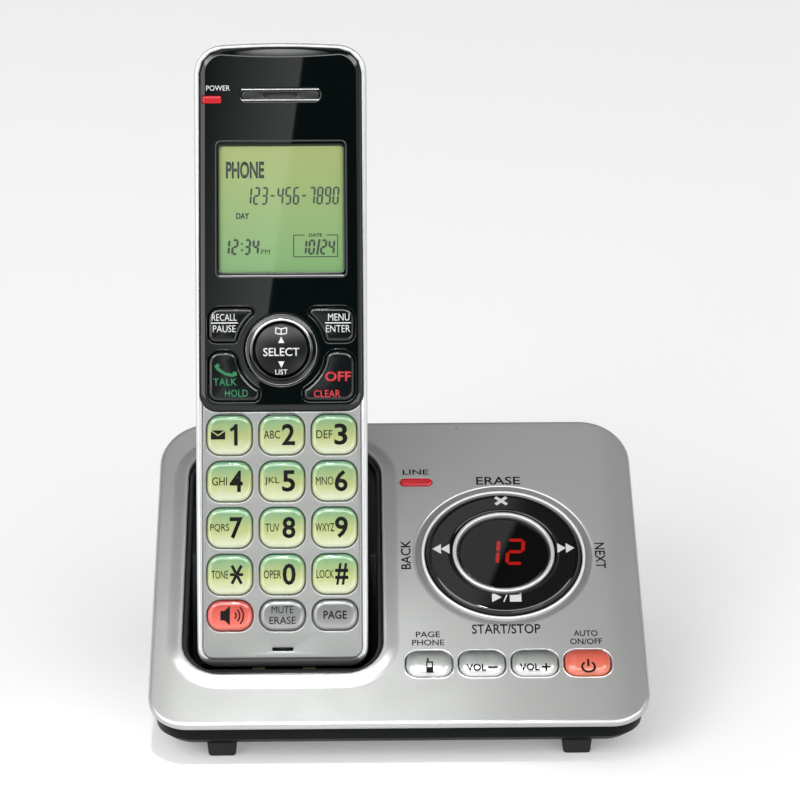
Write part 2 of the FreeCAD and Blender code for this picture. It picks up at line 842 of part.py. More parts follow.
# Grille slots under the loudspeaker
slots = sketch_on(bottom_cover, "XY", foot_height)
for step in range(-3, 4):
    reach = root(speaker_radius * speaker_radius - (step * grille_pitch) * (step * grille_pitch))
    slot_back = speaker_back + step * grille_pitch
    draw_box(slots, speaker_x, slot_back, 2 * reach * grille_share, grille_slot)
pocket(bottom_cover, slots, shell_wall, other_way=True)

# Openings for the two jacks in the rear wall
rear_top_back, rear_top_up = panel_point(panel_length - cover_overhang, -cover_wall)
rear_wall_lean = (rear_top_up - jack_height) * tangent(back_draft)
rear_wall_inside = rear_top_back - rear_wall_lean - shell_wall / cosine(back_draft)
line_block_width = line_socket_width + 2 * jack_wall
line_block_height = line_socket_height + 2 * jack_wall
jack_openings = sketch_on(bottom_cover, "XZ", rear_wall_inside - jack_wall)
draw_box(jack_openings, line_jack_x, jack_height, line_block_width, line_block_height)
draw_circle(jack_openings, power_jack_x, jack_height, power_socket_radius + jack_wall)
pocket(bottom_cover, jack_openings, (shell_wall + jack_wall) * OVERSIZE)

# Four feet, one under each corner
feet = new_body("rubber_feet", "base", several_solids=True)
foot_prints = sketch_on(feet, "XY", foot_height)
for foot_x in (-foot_offset, foot_offset):
    for foot_back in (front_foot_back, rear_foot_back):
        draw_cut_box(foot_prints, foot_x, foot_back, foot_width, foot_length, foot_corner)
pad(feet, foot_prints, foot_height, other_way=True, draft=-foot_draft)

# Telephone line jack and power jack, inside the rear wall
jack_front = rear_wall_inside - jack_gap
line_jack = new_body("line_jack", "base")
line_block = sketch_on(line_jack, "XZ", jack_front)
draw_box(line_block, line_jack_x, jack_height, line_block_width, line_block_height)
pad(line_jack, line_block, line_socket_depth + jack_wall)
line_socket = sketch_on(line_jack, "XZ", jack_front)
draw_box(line_socket, line_jack_x, jack_height, line_socket_width, line_socket_height)
pocket(line_jack, line_socket, line_socket_depth, other_way=True)
latch_notch = sketch_on(line_jack, "XZ", jack_front)
latch_level = jack_height - line_socket_height / 2
draw_box(latch_notch, line_jack_x, latch_level, line_socket_width * latch_share, jack_wall)
pocket(line_jack, latch_notch, line_socket_depth, other_way=True)

power_jack = new_body("power_jack", "base")
power_block = sketch_on(power_jack, "XZ", jack_front)
power_block_width = 2 * (power_socket_radius + jack_wall)
draw_box(power_block, power_jack_x, jack_height, power_block_width, power_block_width)
pad(power_jack, power_block, power_socket_depth + jack_wall)
power_socket = sketch_on(power_jack, "XZ", jack_front)
draw_circle(power_socket, power_jack_x, jack_height, power_socket_radius)
draw_circle(power_socket, power_jack_x, jack_height, power_pin_radius)
pocket(power_jack, power_socket, power_socket_depth, other_way=True)

# Loudspeaker: a basket, a step and a magnet, lying on its grille
speaker = new_body("base_loudspeaker", "base")
basket_height = speaker_height * basket_share
magnet_radius = speaker_radius * magnet_share
turned(
    speaker,
    speaker_x,
    speaker_back,
    [
        (0, floor_top + liner_gap),
        (speaker_radius, floor_top + liner_gap),
        (speaker_radius, floor_top + liner_gap + basket_rim),
        (magnet_radius, floor_top + liner_gap + basket_height),
        (magnet_radius, floor_top + liner_gap + speaker_height),
        (0, floor_top + liner_gap + speaker_height),
    ],
)

# Case screws, driven up from the wells in the bottom cover
case_screws = new_body("base_case_screws", "base", several_solids=True)
for screw_x, screw_back in screw_places:
    seat = under_panel(screw_back) - boss_drop - seat_thickness
    turned(
        case_screws,
        screw_x,
        screw_back,
        [
            (0, seat - screw_head_height),
            (screw_head_radius, seat - screw_head_height),
            (screw_head_radius, seat),
            (screw_radius, seat),
            (screw_radius, seat + seat_thickness + screw_bite),
            (0, seat + seat_thickness + screw_bite),
        ],
    )

# Silver top cover: the screw bosses come first, then the panel that trims and closes them
cradle_middle = (cradle_front + cradle_back) / 2
cradle_span = cradle_back - cradle_front
top_cover = new_body("base_top_cover", "panel", several_solids=True)
for screw_x, screw_back in screw_places:
    boss = sketch_on(top_cover, "XY")
    tilt(boss, -panel_slope, under_panel(screw_back) - boss_drop - front_edge_height)
    draw_circle(boss, screw_x, screw_back, boss_radius)
    pad(top_cover, boss, boss_drop * OVERSIZE)
boss_trim = sketch_on(top_cover, "XY", -cover_wall / 2)
draw_box(boss_trim, 0, panel_length / 2, base_width * OVERSIZE, panel_length * OVERSIZE)
pocket(top_cover, boss_trim, boss_drop * OVERSIZE, other_way=True)
slab = sketch_on(top_cover, "XZ")
band_start = base_width / 2 - side_band
draw_outline(
    slab,
    [
        (-base_width / 2, -cover_wall),
        (base_width / 2, -cover_wall),
        (base_width / 2, -side_drop),
        (band_start, 0, side_blend),
        (-band_start, 0, side_blend),
        (-base_width / 2, -side_drop),
    ],
)
pad(top_cover, slab, panel_length, other_way=True)
half_panel = (panel_length / 2).number


def is_slab_corner(edge, faces):
    """Is the edge one of the slab's four corners, and not an edge of a boss?"""
    return is_corner(edge, faces) and edge.BoundBox.ZLength < cover_wall.number


soften(
    top_cover,
    "Fillet",
    lambda edge, faces: is_slab_corner(edge, faces) and edge.CenterOfMass.y < half_panel,
    cover_front_corner,
)
soften(
    top_cover,
    "Fillet",
    lambda edge, faces: is_slab_corner(edge, faces) and edge.CenterOfMass.y > half_panel,
    cover_back_corner,
)

# Raised rim round the cradle, with a concave flank seen as a slope
rim = sketch_on(top_cover, "XY", -cover_wall / 2)
rim_grow = 2 * (rim_width + rim_lip)
draw_box(
    rim,
    cradle_x,
    cradle_middle,
    cradle_width + rim_grow,
    cradle_span + rim_grow,
    cradle_corner + rim_width + rim_lip,
)
pad(top_cover, rim, cover_wall / 2 + rim_height)
soften(
    top_cover,
    "Chamfer",
    lambda edge, faces: lies_at(edge, rim_height),
    rim_height - rim_land,
    rim_width,
)

# Openings of the panel: cradle, dial, keys and the in-use light
cradle_opening = sketch_on(top_cover, "XY", rim_height)
draw_box(cradle_opening, cradle_x, cradle_middle, cradle_width, cradle_span, cradle_corner)
pocket(top_cover, cradle_opening, cover_wall + rim_height)
dial_opening = sketch_on(top_cover, "XY")
bezel_radius = bezel_diameter / 2
draw_circle(dial_opening, dial_x, dial_along, bezel_radius + liner_gap)
pocket(top_cover, dial_opening, cover_wall)
soften(
    top_cover,
    "Chamfer",
    lambda edge, faces: lies_at(edge, 0) and is_round(edge, bezel_radius + liner_gap),
    dish_width,
    dish_depth,
)
light_opening = sketch_on(top_cover, "XY")
draw_box(
    light_opening,
    light_x,
    light_along,
    light_length + 2 * liner_gap,
    light_width + 2 * liner_gap,
    light_width / 2,
)
pocket(top_cover, light_opening, cover_wall)
key_opening = sketch_on(top_cover, "XY")
draw_cut_box(
    key_opening,
    base_key_first_x,
    base_key_along,
    base_key_width + 2 * key_gap,
    base_key_height + 2 * key_gap,
    base_key_corner + key_gap,
)
repeat(top_cover, pocket(top_cover, key_opening, cover_wall), [("X", BASE_KEYS, base_key_pitch)])

# Ribs that find the bottom cover's side walls, and posts for the circuit board
ribs = sketch_on(top_cover, "XY", -cover_wall)
rib_x = base_width / 2 - cover_overhang - shell_wall - locating_rib
for side in (-1, 1):
    draw_box(ribs, side * rib_x, panel_length / 2, locating_rib, panel_length / 2)
pad(top_cover, ribs, locating_depth, other_way=True)
posts = sketch_on(top_cover, "XY", -cover_wall)
post_inset = post_radius + post_margin
post_spots = [
    (board_right - post_inset, board_back - post_inset),
    (board_right - post_inset, dial_along - bezel_radius),
    (board_left + post_inset, dial_along - bezel_radius),
    (board_left + post_inset, board_back - post_inset),
]
for post_x, post_along in post_spots:
    draw_circle(posts, post_x, post_along, post_radius)
pad(top_cover, posts, board_depth - cover_wall, other_way=True)

# Lugs beside the dial, with holes for the pivots of the ring's carrier
bezel_reach = bezel_radius + bezel_flange
lugs = sketch_on(top_cover, "XY", -cover_wall)
for side in (-1, 1):
    lug_x = dial_x + side * (bezel_reach + lug_length / 2 + liner_gap)
    draw_box(lugs, lug_x, dial_along, lug_length, 2 * (pivot_radius + lug_wall))
pad(top_cover, lugs, pivot_depth + pivot_radius + lug_wall - cover_wall, other_way=True)
pivot_holes = sketch_on(top_cover, "YZ", dial_x)
draw_circle(pivot_holes, dial_along, -pivot_depth, pivot_radius + pivot_play)
pocket(top_cover, pivot_holes, bezel_reach * OVERSIZE + 3 * lug_length, both_ways=True)

# Pilot holes of the case screws
for screw_x, screw_back in screw_places:
    pilot = sketch_on(top_cover, "XY")
    tilt(pilot, -panel_slope, under_panel(screw_back) - boss_drop - front_edge_height)
    draw_circle(pilot, screw_x, screw_back, screw_radius + running_gap)
    pocket(top_cover, pilot, screw_bite + pilot_play, other_way=True)

# Cradle liner: a black cup with a sloping seat, a ramp behind the handset and a shelf above it


def liner_profile(grow):
    """Profile under the cradle's inside, front to back in the panel frame, or under its outside."""
    across = sine(handset_rise)
    along = cosine(handset_rise)
    seat = seat_gap + grow
    back = handset_thickness - door_wall - door_gap + back_gap + grow
    seat_y = chin_along - seat * along
    seat_z = chin_above - seat * across
    ramp_y = chin_along + back * across
    ramp_z = chin_above - back * along
    floor_z = foot_height + shell_wall + liner_floor_lift + liner_wall - grow
    # A level line of the world climbs by this much per length along the panel.
    level = floor_z - front_edge_height
    fall = tangent(panel_slope)
    shelf_start = (liner_front_shelf + grow + seat_z) / along
    front_shelf_y = seat_y + across * shelf_start
    floor_start = (seat_z + seat_y * fall - level / cosine(panel_slope)) / (along - across * fall)
    floor_stop = (level / cosine(panel_slope) - ramp_z - ramp_y * fall) / (across + along * fall)
    ramp_top = (-liner_shelf - grow - ramp_z) / across
    return [
        (cradle_front - liner_wall, -liner_front_shelf - grow),
        (front_shelf_y, -liner_front_shelf - grow),
        (seat_y + across * floor_start, seat_z - along * floor_start),
        (ramp_y + along * floor_stop, ramp_z + across * floor_stop),
        (ramp_y + along * ramp_top, -liner_shelf - grow),
        (cradle_back + liner_wall, -liner_shelf - grow),
    ]


liner_outside = new_body("cradle_liner_outside")
liner_plan = sketch_on(liner_outside, "XY", -liner_gap)
draw_box(
    liner_plan,
    cradle_x,
    cradle_middle,
    cradle_width - 2 * liner_gap,
    cradle_span - 2 * liner_gap,
    cradle_corner - liner_gap,
)
liner_deep = handset_thickness * OVERSIZE
pad(liner_outside, liner_plan, liner_deep, other_way=True)

outside_waste = sketch_on(liner_outside, "YZ", cradle_x)
below = liner_deep * OVERSIZE
front_below = (cradle_front - liner_wall, -below)
back_below = (cradle_back + liner_wall, -below)
draw_outline(outside_waste, [front_below, *liner_profile(liner_wall), back_below])
pocket(liner_outside, outside_waste, both_ways=True)
flange = sketch_on(liner_outside, "XY", -cover_wall - liner_gap)
draw_box(
    flange,
    cradle_x,
    cradle_middle,
    cradle_width + 2 * liner_flange,
    cradle_span + 2 * liner_flange,
    cradle_corner + liner_flange,
)
pad(liner_outside, flange, liner_wall, other_way=True)

liner_inside = new_body("cradle_liner_inside")
inner_plan = sketch_on(liner_inside, "XY", rim_height)
draw_box(
    inner_plan,
    cradle_x,
    cradle_middle,
    cradle_width - 2 * liner_wall,
    cradle_span - 2 * liner_wall,
    cradle_corner - liner_wall,
)
pad(liner_inside, inner_plan, liner_deep, other_way=True)
inside_waste = sketch_on(liner_inside, "YZ", cradle_x)
draw_outline(inside_waste, [front_below, *liner_profile(as_size(0)), back_below])
pocket(liner_inside, inside_waste, both_ways=True)
contact_slots = sketch_on(liner_inside, "XY")
tilt(contact_slots, handset_rise - right_angle)
bind(contact_slots, "AttachmentOffset.Base.y", chin_along)
bind(contact_slots, "AttachmentOffset.Base.z", chin_above)
for side in (-1, 1):
    draw_box(
        contact_slots,
        cradle_x + side * contact_x,
        contact_depth,
        contact_width + 2 * contact_slot_gap,
        contact_length + 2 * contact_slot_gap,
    )
pad(liner_inside, contact_slots, 2 * (seat_gap + liner_wall) * OVERSIZE, both_ways=True)
cut_away("cradle_liner", "panel", liner_outside, liner_inside)

# Charging contacts of the cradle: two bent strips that stand up through the seat
cradle_contacts = new_body("cradle_charge_contacts", "handset", several_solids=True)
strips = sketch_on(cradle_contacts, "XZ", -contact_gap)
for side in (-1, 1):
    draw_box(strips, side * contact_x, -contact_depth, contact_width, contact_length, contact_wall)
pad(cradle_contacts, strips, seat_gap + liner_wall + contact_tail)

# Dial bezel: a thin bright ring with a flange under the cover
bezel = new_body("dial_bezel_ring", "panel")
bezel_bore = bezel_radius - bezel_wall
turned(
    bezel,
    dial_x,
    dial_along,
    [
        (bezel_bore, bezel_height),
        (bezel_radius, bezel_height),
        (bezel_radius, -cover_wall - liner_gap),
        (bezel_reach, -cover_wall - liner_gap),
        (bezel_reach, -cover_wall - bezel_wall),
        (bezel_bore, -cover_wall - bezel_wall),
    ],
)

# Rocking ring: a domed washer with two lugs that hang on the carrier's inner pivots
ring_outer = bezel_bore - ring_gap
ring_inner = trim_diameter / 2 + trim_gap
rocker = new_body("dial_rocker_ring", "panel")
ring_middle = (ring_outer + ring_inner) / 2
turned(
    rocker,
    dial_x,
    dial_along,
    [
        (ring_inner, -ring_edge_drop - ring_wall),
        (ring_outer, -ring_edge_drop - ring_wall),
        (ring_outer, -ring_edge_drop),
        (ring_middle, ring_crown),
        (ring_inner, ring_crown),
    ],
)
carrier_outer = ring_outer - carrier_gap / 2
carrier_inner = carrier_outer - carrier_width
ring_inside = -ring_edge_drop - ring_wall / 2
ring_lugs = sketch_on(rocker, "XY", ring_inside)
for side in (-1, 1):
    lug_along = dial_along + side * (carrier_inner - carrier_gap - lug_length / 2)
    draw_box(ring_lugs, dial_x, lug_along, 2 * (pivot_radius + lug_wall), lug_length)
pad(rocker, ring_lugs, pivot_depth + pivot_radius + lug_wall + ring_inside, other_way=True)
ring_pivot_holes = sketch_on(rocker, "XZ", dial_along)
draw_circle(ring_pivot_holes, dial_x, -pivot_depth, pivot_radius + pivot_play)
pocket(rocker, ring_pivot_holes, 2 * carrier_inner, both_ways=True)

# Carrier of the rocking ring: a flat ring with two pivots outside and two inside
carrier = new_body("dial_rocker_carrier", "panel")
carrier_ring = sketch_on(carrier, "XY", -pivot_depth)
draw_circle(carrier_ring, dial_x, dial_along, carrier_outer)
draw_circle(carrier_ring, dial_x, dial_along, carrier_inner)
pad(carrier, carrier_ring, carrier_height, both_ways=True)
for side in (-1, 1):
    outer_pivot = sketch_on(carrier, "YZ", dial_x + side * (carrier_outer - carrier_width / 2))
    draw_circle(outer_pivot, dial_along, -pivot_depth, pivot_radius)
    pad(
        carrier,
        outer_pivot,
        bezel_reach + liner_gap + lug_length - carrier_outer + carrier_width / 2,
        other_way=side < 0,
    )
    inner_pivot = sketch_on(carrier, "XZ", dial_along + side * (carrier_inner + carrier_width / 2))
    draw_circle(inner_pivot, dial_x, -pivot_depth, pivot_radius)
    pad(carrier, inner_pivot, carrier_width / 2 + carrier_gap + lug_length, other_way=side < 0)

# Hub, bright trim ring and smoked window of the counter
hub_radius = trim_diameter / 2 - trim_gap
hub_bore = hub_radius - hub_wall
board_top = -board_depth
hub = new_body("display_hub", "panel")
turned(
    hub,
    dial_x,
    dial_along,
    [
        (hub_bore, board_top),
        (hub_radius, board_top),
        (hub_radius, trim_height - trim_width),
        (hub_bore, trim_height - trim_width),
    ],
)
trim = new_body("display_trim_ring", "panel")
trim_bore = trim_diameter / 2 - trim_width
turned(
    trim,
    dial_x,
    dial_along,
    [
        (trim_bore, trim_height - trim_width),
        (trim_bore + trim_width, trim_height - trim_width),
        (trim_bore + trim_width, trim_height - trim_slope),
        (trim_bore + trim_width * trim_ridge_share, trim_height),
        (trim_bore, trim_height - trim_slope),
    ],
)
window = new_body("display_window", "panel")
turned(
    window,
    dial_x,
    dial_along,
    [
        (0, trim_height - trim_width - window_wall),
        (hub_bore - liner_gap, trim_height - trim_width - window_wall),
        (hub_bore - liner_gap, trim_height - trim_width),
        (0, trim_height - trim_width),
    ],
)
display = new_body("led_display", "panel")
display_block = sketch_on(display, "XY", board_top)
draw_box(display_block, dial_x, dial_along, display_length, display_width)
pad(display, display_block, board_depth + trim_height - trim_width - window_wall - liner_gap)


def key_body(label, frame, draw_plan, top, ceiling, flange, bevel):
    """A key: a cap that reaches from under its panel to its top, and the flange that holds it in."""
    key = new_body(label, frame)
    cap = sketch_on(key, "XY", ceiling)
    draw_plan(cap, 0, 0)
    pad(key, cap, top - ceiling)
    soften(key, "Chamfer", lambda edge, faces: lies_at(edge, top), bevel)
    collar = sketch_on(key, "XY", ceiling)
    draw_plan(collar, flange[0], flange[1])
    pad(key, collar, flange[2], other_way=True)
    return key


def box_plan(x, y, width, height, corner):
    """The plan of a rounded key, which its flange repeats a little wider and higher."""

    def draw(sketch, wider, higher):
        draw_cut_box(sketch, x, y, width + 2 * wider, height + 2 * higher, corner + wider)

    return draw


# Four keys in a row, each with a plunger that reaches down to the key mat
mat_top = board_top + mat_thickness
base_key_ceiling = -cover_wall - key_flange_gap
base_key_labels = ["find_handset_key", "volume_down_key", "volume_up_key", "answer_on_off_key"]
for column, label in enumerate(base_key_labels):
    key_x = base_key_first_x + column * base_key_pitch
    plan = box_plan(key_x, base_key_along, base_key_width, base_key_height, base_key_corner)
    flange_size = ((base_key_spacing - key_gap) / 2, key_flange_end, key_flange_height)
    key = key_body(label, "panel", plan, base_key_proud, base_key_ceiling, flange_size, base_key_bevel)
    plunger = sketch_on(key, "XY", base_key_ceiling - key_flange_height)
    draw_box(plunger, key_x, base_key_along, dome_width, dome_width)
    pad(key, plunger, key_flange_height, other_way=True)

# In-use light: a light pipe from the board through the panel
light = new_body("in_use_light", "panel")
light_bar = sketch_on(light, "XY", board_top)
draw_box(light_bar, light_x, light_along, light_length, light_width, light_width / 2 - liner_gap)
pad(light, light_bar, board_depth + light_proud)

# Key mat with a dome under every key and under the four points of the ring
mat = new_body("base_key_mat", "panel")
mat_plan = sketch_on(mat, "XY", board_top)
mat_margin = dome_width / 2
mat_low = base_key_along - base_key_height / 2 - mat_margin / 2
mat_high = dial_along + bezel_radius
draw_outline(
    mat_plan,
    [
        (board_left + mat_margin, mat_low),
        (board_right - mat_margin, mat_low),
        (board_right - mat_margin, base_key_along + base_key_height / 2 + mat_margin),
        (dial_x + ring_outer, dial_along - bezel_radius),
        (dial_x + ring_outer, mat_high),
        (dial_x - ring_outer, mat_high),
        (dial_x - ring_outer, dial_along - bezel_radius),
        (board_left + mat_margin, base_key_along + base_key_height / 2 + mat_margin),
    ],
)
draw_circle(mat_plan, dial_x, dial_along, hub_radius + liner_gap)
pad(mat, mat_plan, mat_thickness)
key_dome_top = base_key_ceiling - 2 * key_flange_height - base_key_travel - liner_gap
key_dome = sketch_on(mat, "XY", mat_top)
draw_box(key_dome, base_key_first_x, base_key_along, dome_width, dome_width)
key_domes = pad(mat, key_dome, key_dome_top - mat_top, draft=-front_draft)
repeat(mat, key_domes, [("X", BASE_KEYS, base_key_pitch)])
ring_domes = sketch_on(mat, "XY", mat_top)
for turn_x, turn_y in ((1, 0), (-1, 0), (0, 1), (0, -1)):
    dome_x = dial_x + turn_x * ring_middle
    dome_along = dial_along + turn_y * ring_middle
    draw_box(ring_domes, dome_x, dome_along, dome_width / 2, dome_width / 2)
pad(mat, ring_domes, mat_thickness / 2)

# Circuit board, parallel to the panel
board = new_body("base_circuit_board", "panel")
board_plan = sketch_on(board, "XY", board_top)
light_tab = light_x + light_length
light_end = light_along + light_width / 2 + key_flange_gap
draw_outline(
    board_plan,
    [
        (board_left, board_front),
        (board_right, board_front),
        (board_right, board_back),
        (light_tab, board_back),
        (light_tab, light_end),
        (board_left, light_end),
    ],
)
pad(board, board_plan, board_thickness, other_way=True)

# The handset's outline, which its cases share
half_top = handset_top_width / 2
half_bottom = handset_bottom_width / 2
shoulder = handset_length - handset_crown


def draw_handset_plan(sketch, inset=0):
    """Plan of the handset: a little wider at the earpiece, with an arched top."""
    draw_outline(
        sketch,
        [
            (-half_bottom + inset, inset, handset_bottom_corner - inset),
            (half_bottom - inset, inset, handset_bottom_corner - inset),
            (half_top - inset, shoulder - inset, handset_top_corner - inset),
            (0, handset_length - inset, handset_crown_round),
            (-half_top + inset, shoulder - inset, handset_top_corner - inset),
        ],
    )


def draw_plate_plan(sketch, grow=0):
    """Plan of the black face plate."""
    side = plate_half_width + grow
    top = shoulder - plate_top_margin + grow
    draw_outline(
        sketch,
        [
            (-side, plate_bottom - grow, plate_bottom_corner + grow),
            (side, plate_bottom - grow, plate_bottom_corner + grow),
            (side, top, handset_top_corner - plate_top_margin + grow),
            (0, top + handset_crown, handset_crown_round),
            (-side, top, handset_top_corner - plate_top_margin + grow),
        ],
    )


# Front case: a silver shell whose face is sunk for the keypad panel and the face plate
front_case = new_body("handset_front_case", "handset")
front_plan = sketch_on(front_case, "XY")
draw_handset_plan(front_plan)
pad(front_case, front_plan, parting_depth, other_way=True)
soften(front_case, "Chamfer", lambda edge, faces: lies_at(edge, 0), face_bevel)
front_hollow = sketch_on(front_case, "XY", -parting_depth)
draw_handset_plan(front_hollow, case_wall)
pocket(front_case, front_hollow, parting_depth - face_wall, other_way=True)
keypad_seat = sketch_on(front_case, "XY")
keypad_middle = (keypad_bottom + keypad_top) / 2
draw_cut_box(
    keypad_seat,
    0,
    keypad_middle,
    2 * (keypad_half_width + groove),
    keypad_top - keypad_bottom + 2 * groove,
    handset_bottom_corner - case_wall,
)
pocket(front_case, keypad_seat, panel_thickness)
plate_seat = sketch_on(front_case, "XY")
draw_plate_plan(plate_seat, plate_gap)
pocket(front_case, plate_seat, panel_thickness)

# Windows of the sunk face: number keys, soft keys, screen, receiver, charge light, microphone
face_windows = sketch_on(front_case, "XY", -panel_thickness)
key_field = number_column_pitch + number_key_width / 2 + side_flange + handset_play
key_field_bottom = function_row - function_key_height / 2 - end_flange - handset_play
key_field_top = number_top_row + number_key_height / 2 + end_flange + handset_play
key_field_middle = (key_field_bottom + key_field_top) / 2
draw_box(face_windows, 0, key_field_middle, 2 * key_field, key_field_top - key_field_bottom)
soft_field_bottom = talk_keys_far - end_flange - handset_play
soft_field_top = menu_keys_far + end_flange + handset_play
soft_field = soft_key_outer + side_flange + handset_play
soft_field_middle = (soft_field_bottom + soft_field_top) / 2
draw_box(face_windows, 0, soft_field_middle, 2 * soft_field, soft_field_top - soft_field_bottom)
screen_middle = (screen_bottom + screen_top) / 2
draw_box(
    face_windows,
    0,
    screen_middle,
    2 * (screen_half_width + handset_play),
    screen_top - screen_bottom + 2 * handset_play,
)
draw_box(face_windows, 0, earpiece_up, earpiece_slot_width, earpiece_slot_height)
draw_box(
    face_windows,
    charge_light_x,
    charge_light_up,
    charge_light_length + 2 * plate_gap,
    charge_light_width + 2 * plate_gap,
)
draw_box(face_windows, 0, microphone_up, microphone_slot_width, microphone_slot_height)
pocket(front_case, face_windows, face_wall)

# Screw bosses behind the sunk face
front_bosses = sketch_on(front_case, "XY", -parting_depth)
for side in (-1, 1):
    draw_circle(front_bosses, side * handset_screw_x, handset_screw_up, handset_boss_radius)
pad(front_case, front_bosses, parting_depth - face_wall + boss_root)
# Stops on which the circuit board's face rests
board_stops = sketch_on(front_case, "XY", -handset_board_depth)
for side in (-1, 1):
    draw_circle(board_stops, side * board_stop_x, board_stop_bottom, board_stop_radius)
    draw_circle(board_stops, side * board_stop_x, board_stop_top, board_stop_radius)
pad(front_case, board_stops, handset_board_depth - face_wall + boss_root)
front_pilots = sketch_on(front_case, "XY", -parting_depth)
for side in (-1, 1):
    draw_circle(front_pilots, side * handset_screw_x, handset_screw_up, handset_screw_radius + running_gap)
pocket(front_case, front_pilots, parting_depth - face_wall - case_wall / 2, other_way=True)

# Keypad panel: a thin grey plate with the key openings, cut out round the face plate
keypad = new_body("handset_keypad_panel", "handset")
keypad_plan = sketch_on(keypad, "XY")
draw_cut_box(
    keypad_plan,
    0,
    keypad_middle,
    2 * keypad_half_width,
    keypad_top - keypad_bottom,
    handset_bottom_corner - case_wall,
)
pad(keypad, keypad_plan, panel_thickness, other_way=True)
plate_edge = sketch_on(keypad, "XY")
draw_plate_plan(plate_edge, plate_gap)
pocket(keypad, plate_edge, panel_thickness)
number_opening = sketch_on(keypad, "XY")
draw_cut_box(
    number_opening,
    -number_column_pitch,
    number_top_row - (NUMBER_ROWS - 1) * number_row_pitch,
    number_key_width + 2 * groove,
    number_key_height + 2 * groove,
    number_key_corner + groove,
)
repeat(
    keypad,
    pocket(keypad, number_opening, panel_thickness),
    [("X", NUMBER_COLUMNS, number_column_pitch), ("Y", NUMBER_ROWS, number_row_pitch)],
)
function_opening = sketch_on(keypad, "XY")
draw_cut_box(
    function_opening,
    -number_column_pitch,
    function_row,
    number_key_width + 2 * groove,
    function_key_height + 2 * groove,
    number_key_corner + groove,
)
function_openings = pocket(keypad, function_opening, panel_thickness)
repeat(keypad, function_openings, [("X", NUMBER_COLUMNS, number_column_pitch)])
talk_slot = sketch_on(keypad, "XY")
draw_box(talk_slot, 0, microphone_up, microphone_slot_width, microphone_slot_height)
pocket(keypad, talk_slot, panel_thickness)


def soft_key_plan(side, near, far, inner):
    """Plan of a key beside the navigation ring, hollowed along the ring's clearance circle."""

    def draw(sketch, wider, higher):
        ring = navigation_clearance - wider
        outer = soft_key_outer + wider
        tip = inner - wider
        away = 1 if far.number > near.number else -1
        cut = soft_key_round + wider
        near_y = near - away * higher
        far_y = far + away * higher
        near_x = root(ring * ring - (near_y - navigation_up) * (near_y - navigation_up))
        tip_y = root(ring * ring - tip * tip)
        # The two points on the circle, and the corner where its tangents there meet.
        pull = ring * ring / (ring * ring + near_x * tip + (near_y - navigation_up) * away * tip_y)
        waist_x = (near_x + tip) * pull
        waist_y = navigation_up + (near_y - navigation_up + away * tip_y) * pull
        corners = [
            (side * outer, near_y),
            (side * near_x, near_y),
            (side * waist_x, waist_y, ring * soft_key_waist),
            (side * tip, navigation_up + away * tip_y),
            (side * tip, far_y),
            (side * (outer - cut), far_y),
            (side * outer, far_y - away * cut),
        ]
        draw_outline(sketch, corners)

    return draw


soft_keys = {
    "redial_key": soft_key_plan(-1, menu_keys_near, menu_keys_far, menu_keys_inner),
    "menu_key": soft_key_plan(1, menu_keys_near, menu_keys_far, menu_keys_inner),
    "talk_key": soft_key_plan(-1, talk_keys_near, talk_keys_far, talk_keys_inner),
    "off_key": soft_key_plan(1, talk_keys_near, talk_keys_far, talk_keys_inner),
}

# Face plate: gloss black, bevelled all round, clear over the screen
plate = new_body("handset_face_plate", "handset")
plate_plan = sketch_on(plate, "XY", -panel_thickness)
draw_plate_plan(plate_plan)
pad(plate, plate_plan, panel_thickness + plate_proud)
soften(
    plate, "Chamfer", lambda edge, faces: lies_at(edge, plate_proud), plate_bevel_width, plate_bevel_height
)
for draw_plan in soft_keys.values():
    soft_opening = sketch_on(plate, "XY", plate_proud)
    draw_plan(soft_opening, groove, groove)
    pocket(plate, soft_opening, panel_thickness + plate_proud)
plate_holes = sketch_on(plate, "XY", plate_proud)
navigation_radius = navigation_diameter / 2
draw_circle(plate_holes, 0, navigation_up, navigation_radius + plate_gap)
draw_box(plate_holes, 0, earpiece_up, earpiece_width + 2 * plate_gap, earpiece_height + 2 * plate_gap)
draw_box(
    plate_holes,
    charge_light_x,
    charge_light_up,
    charge_light_length + 2 * plate_gap,
    charge_light_width + 2 * plate_gap,
)
pocket(plate, plate_holes, panel_thickness + plate_proud)

# Navigation key and its chrome ring
ring_trim = new_body("navigation_ring_trim", "handset")
navigation_key_radius = navigation_key_diameter / 2
ring_bore = navigation_key_radius + key_gap
ring_round = (navigation_radius - ring_bore) / 2
turned(
    ring_trim,
    0,
    navigation_up,
    [
        (ring_bore, -panel_thickness),
        (navigation_radius, -panel_thickness),
        (navigation_radius, navigation_ring_height - ring_round),
        (navigation_radius - ring_round, navigation_ring_height),
        (ring_bore, navigation_ring_height - ring_round),
    ],
)
navigation_key = new_body("navigation_key", "handset")
navigation_flange = -panel_thickness - 2 * key_gap
turned(
    navigation_key,
    0,
    navigation_up,
    [
        (0, navigation_flange - handset_flange_height),
        (navigation_key_radius + ring_round, navigation_flange - handset_flange_height),
        (navigation_key_radius + ring_round, navigation_flange),
        (navigation_key_radius, navigation_flange),
        (navigation_key_radius, navigation_dome / 2),
        (0, navigation_dome),
    ],
)

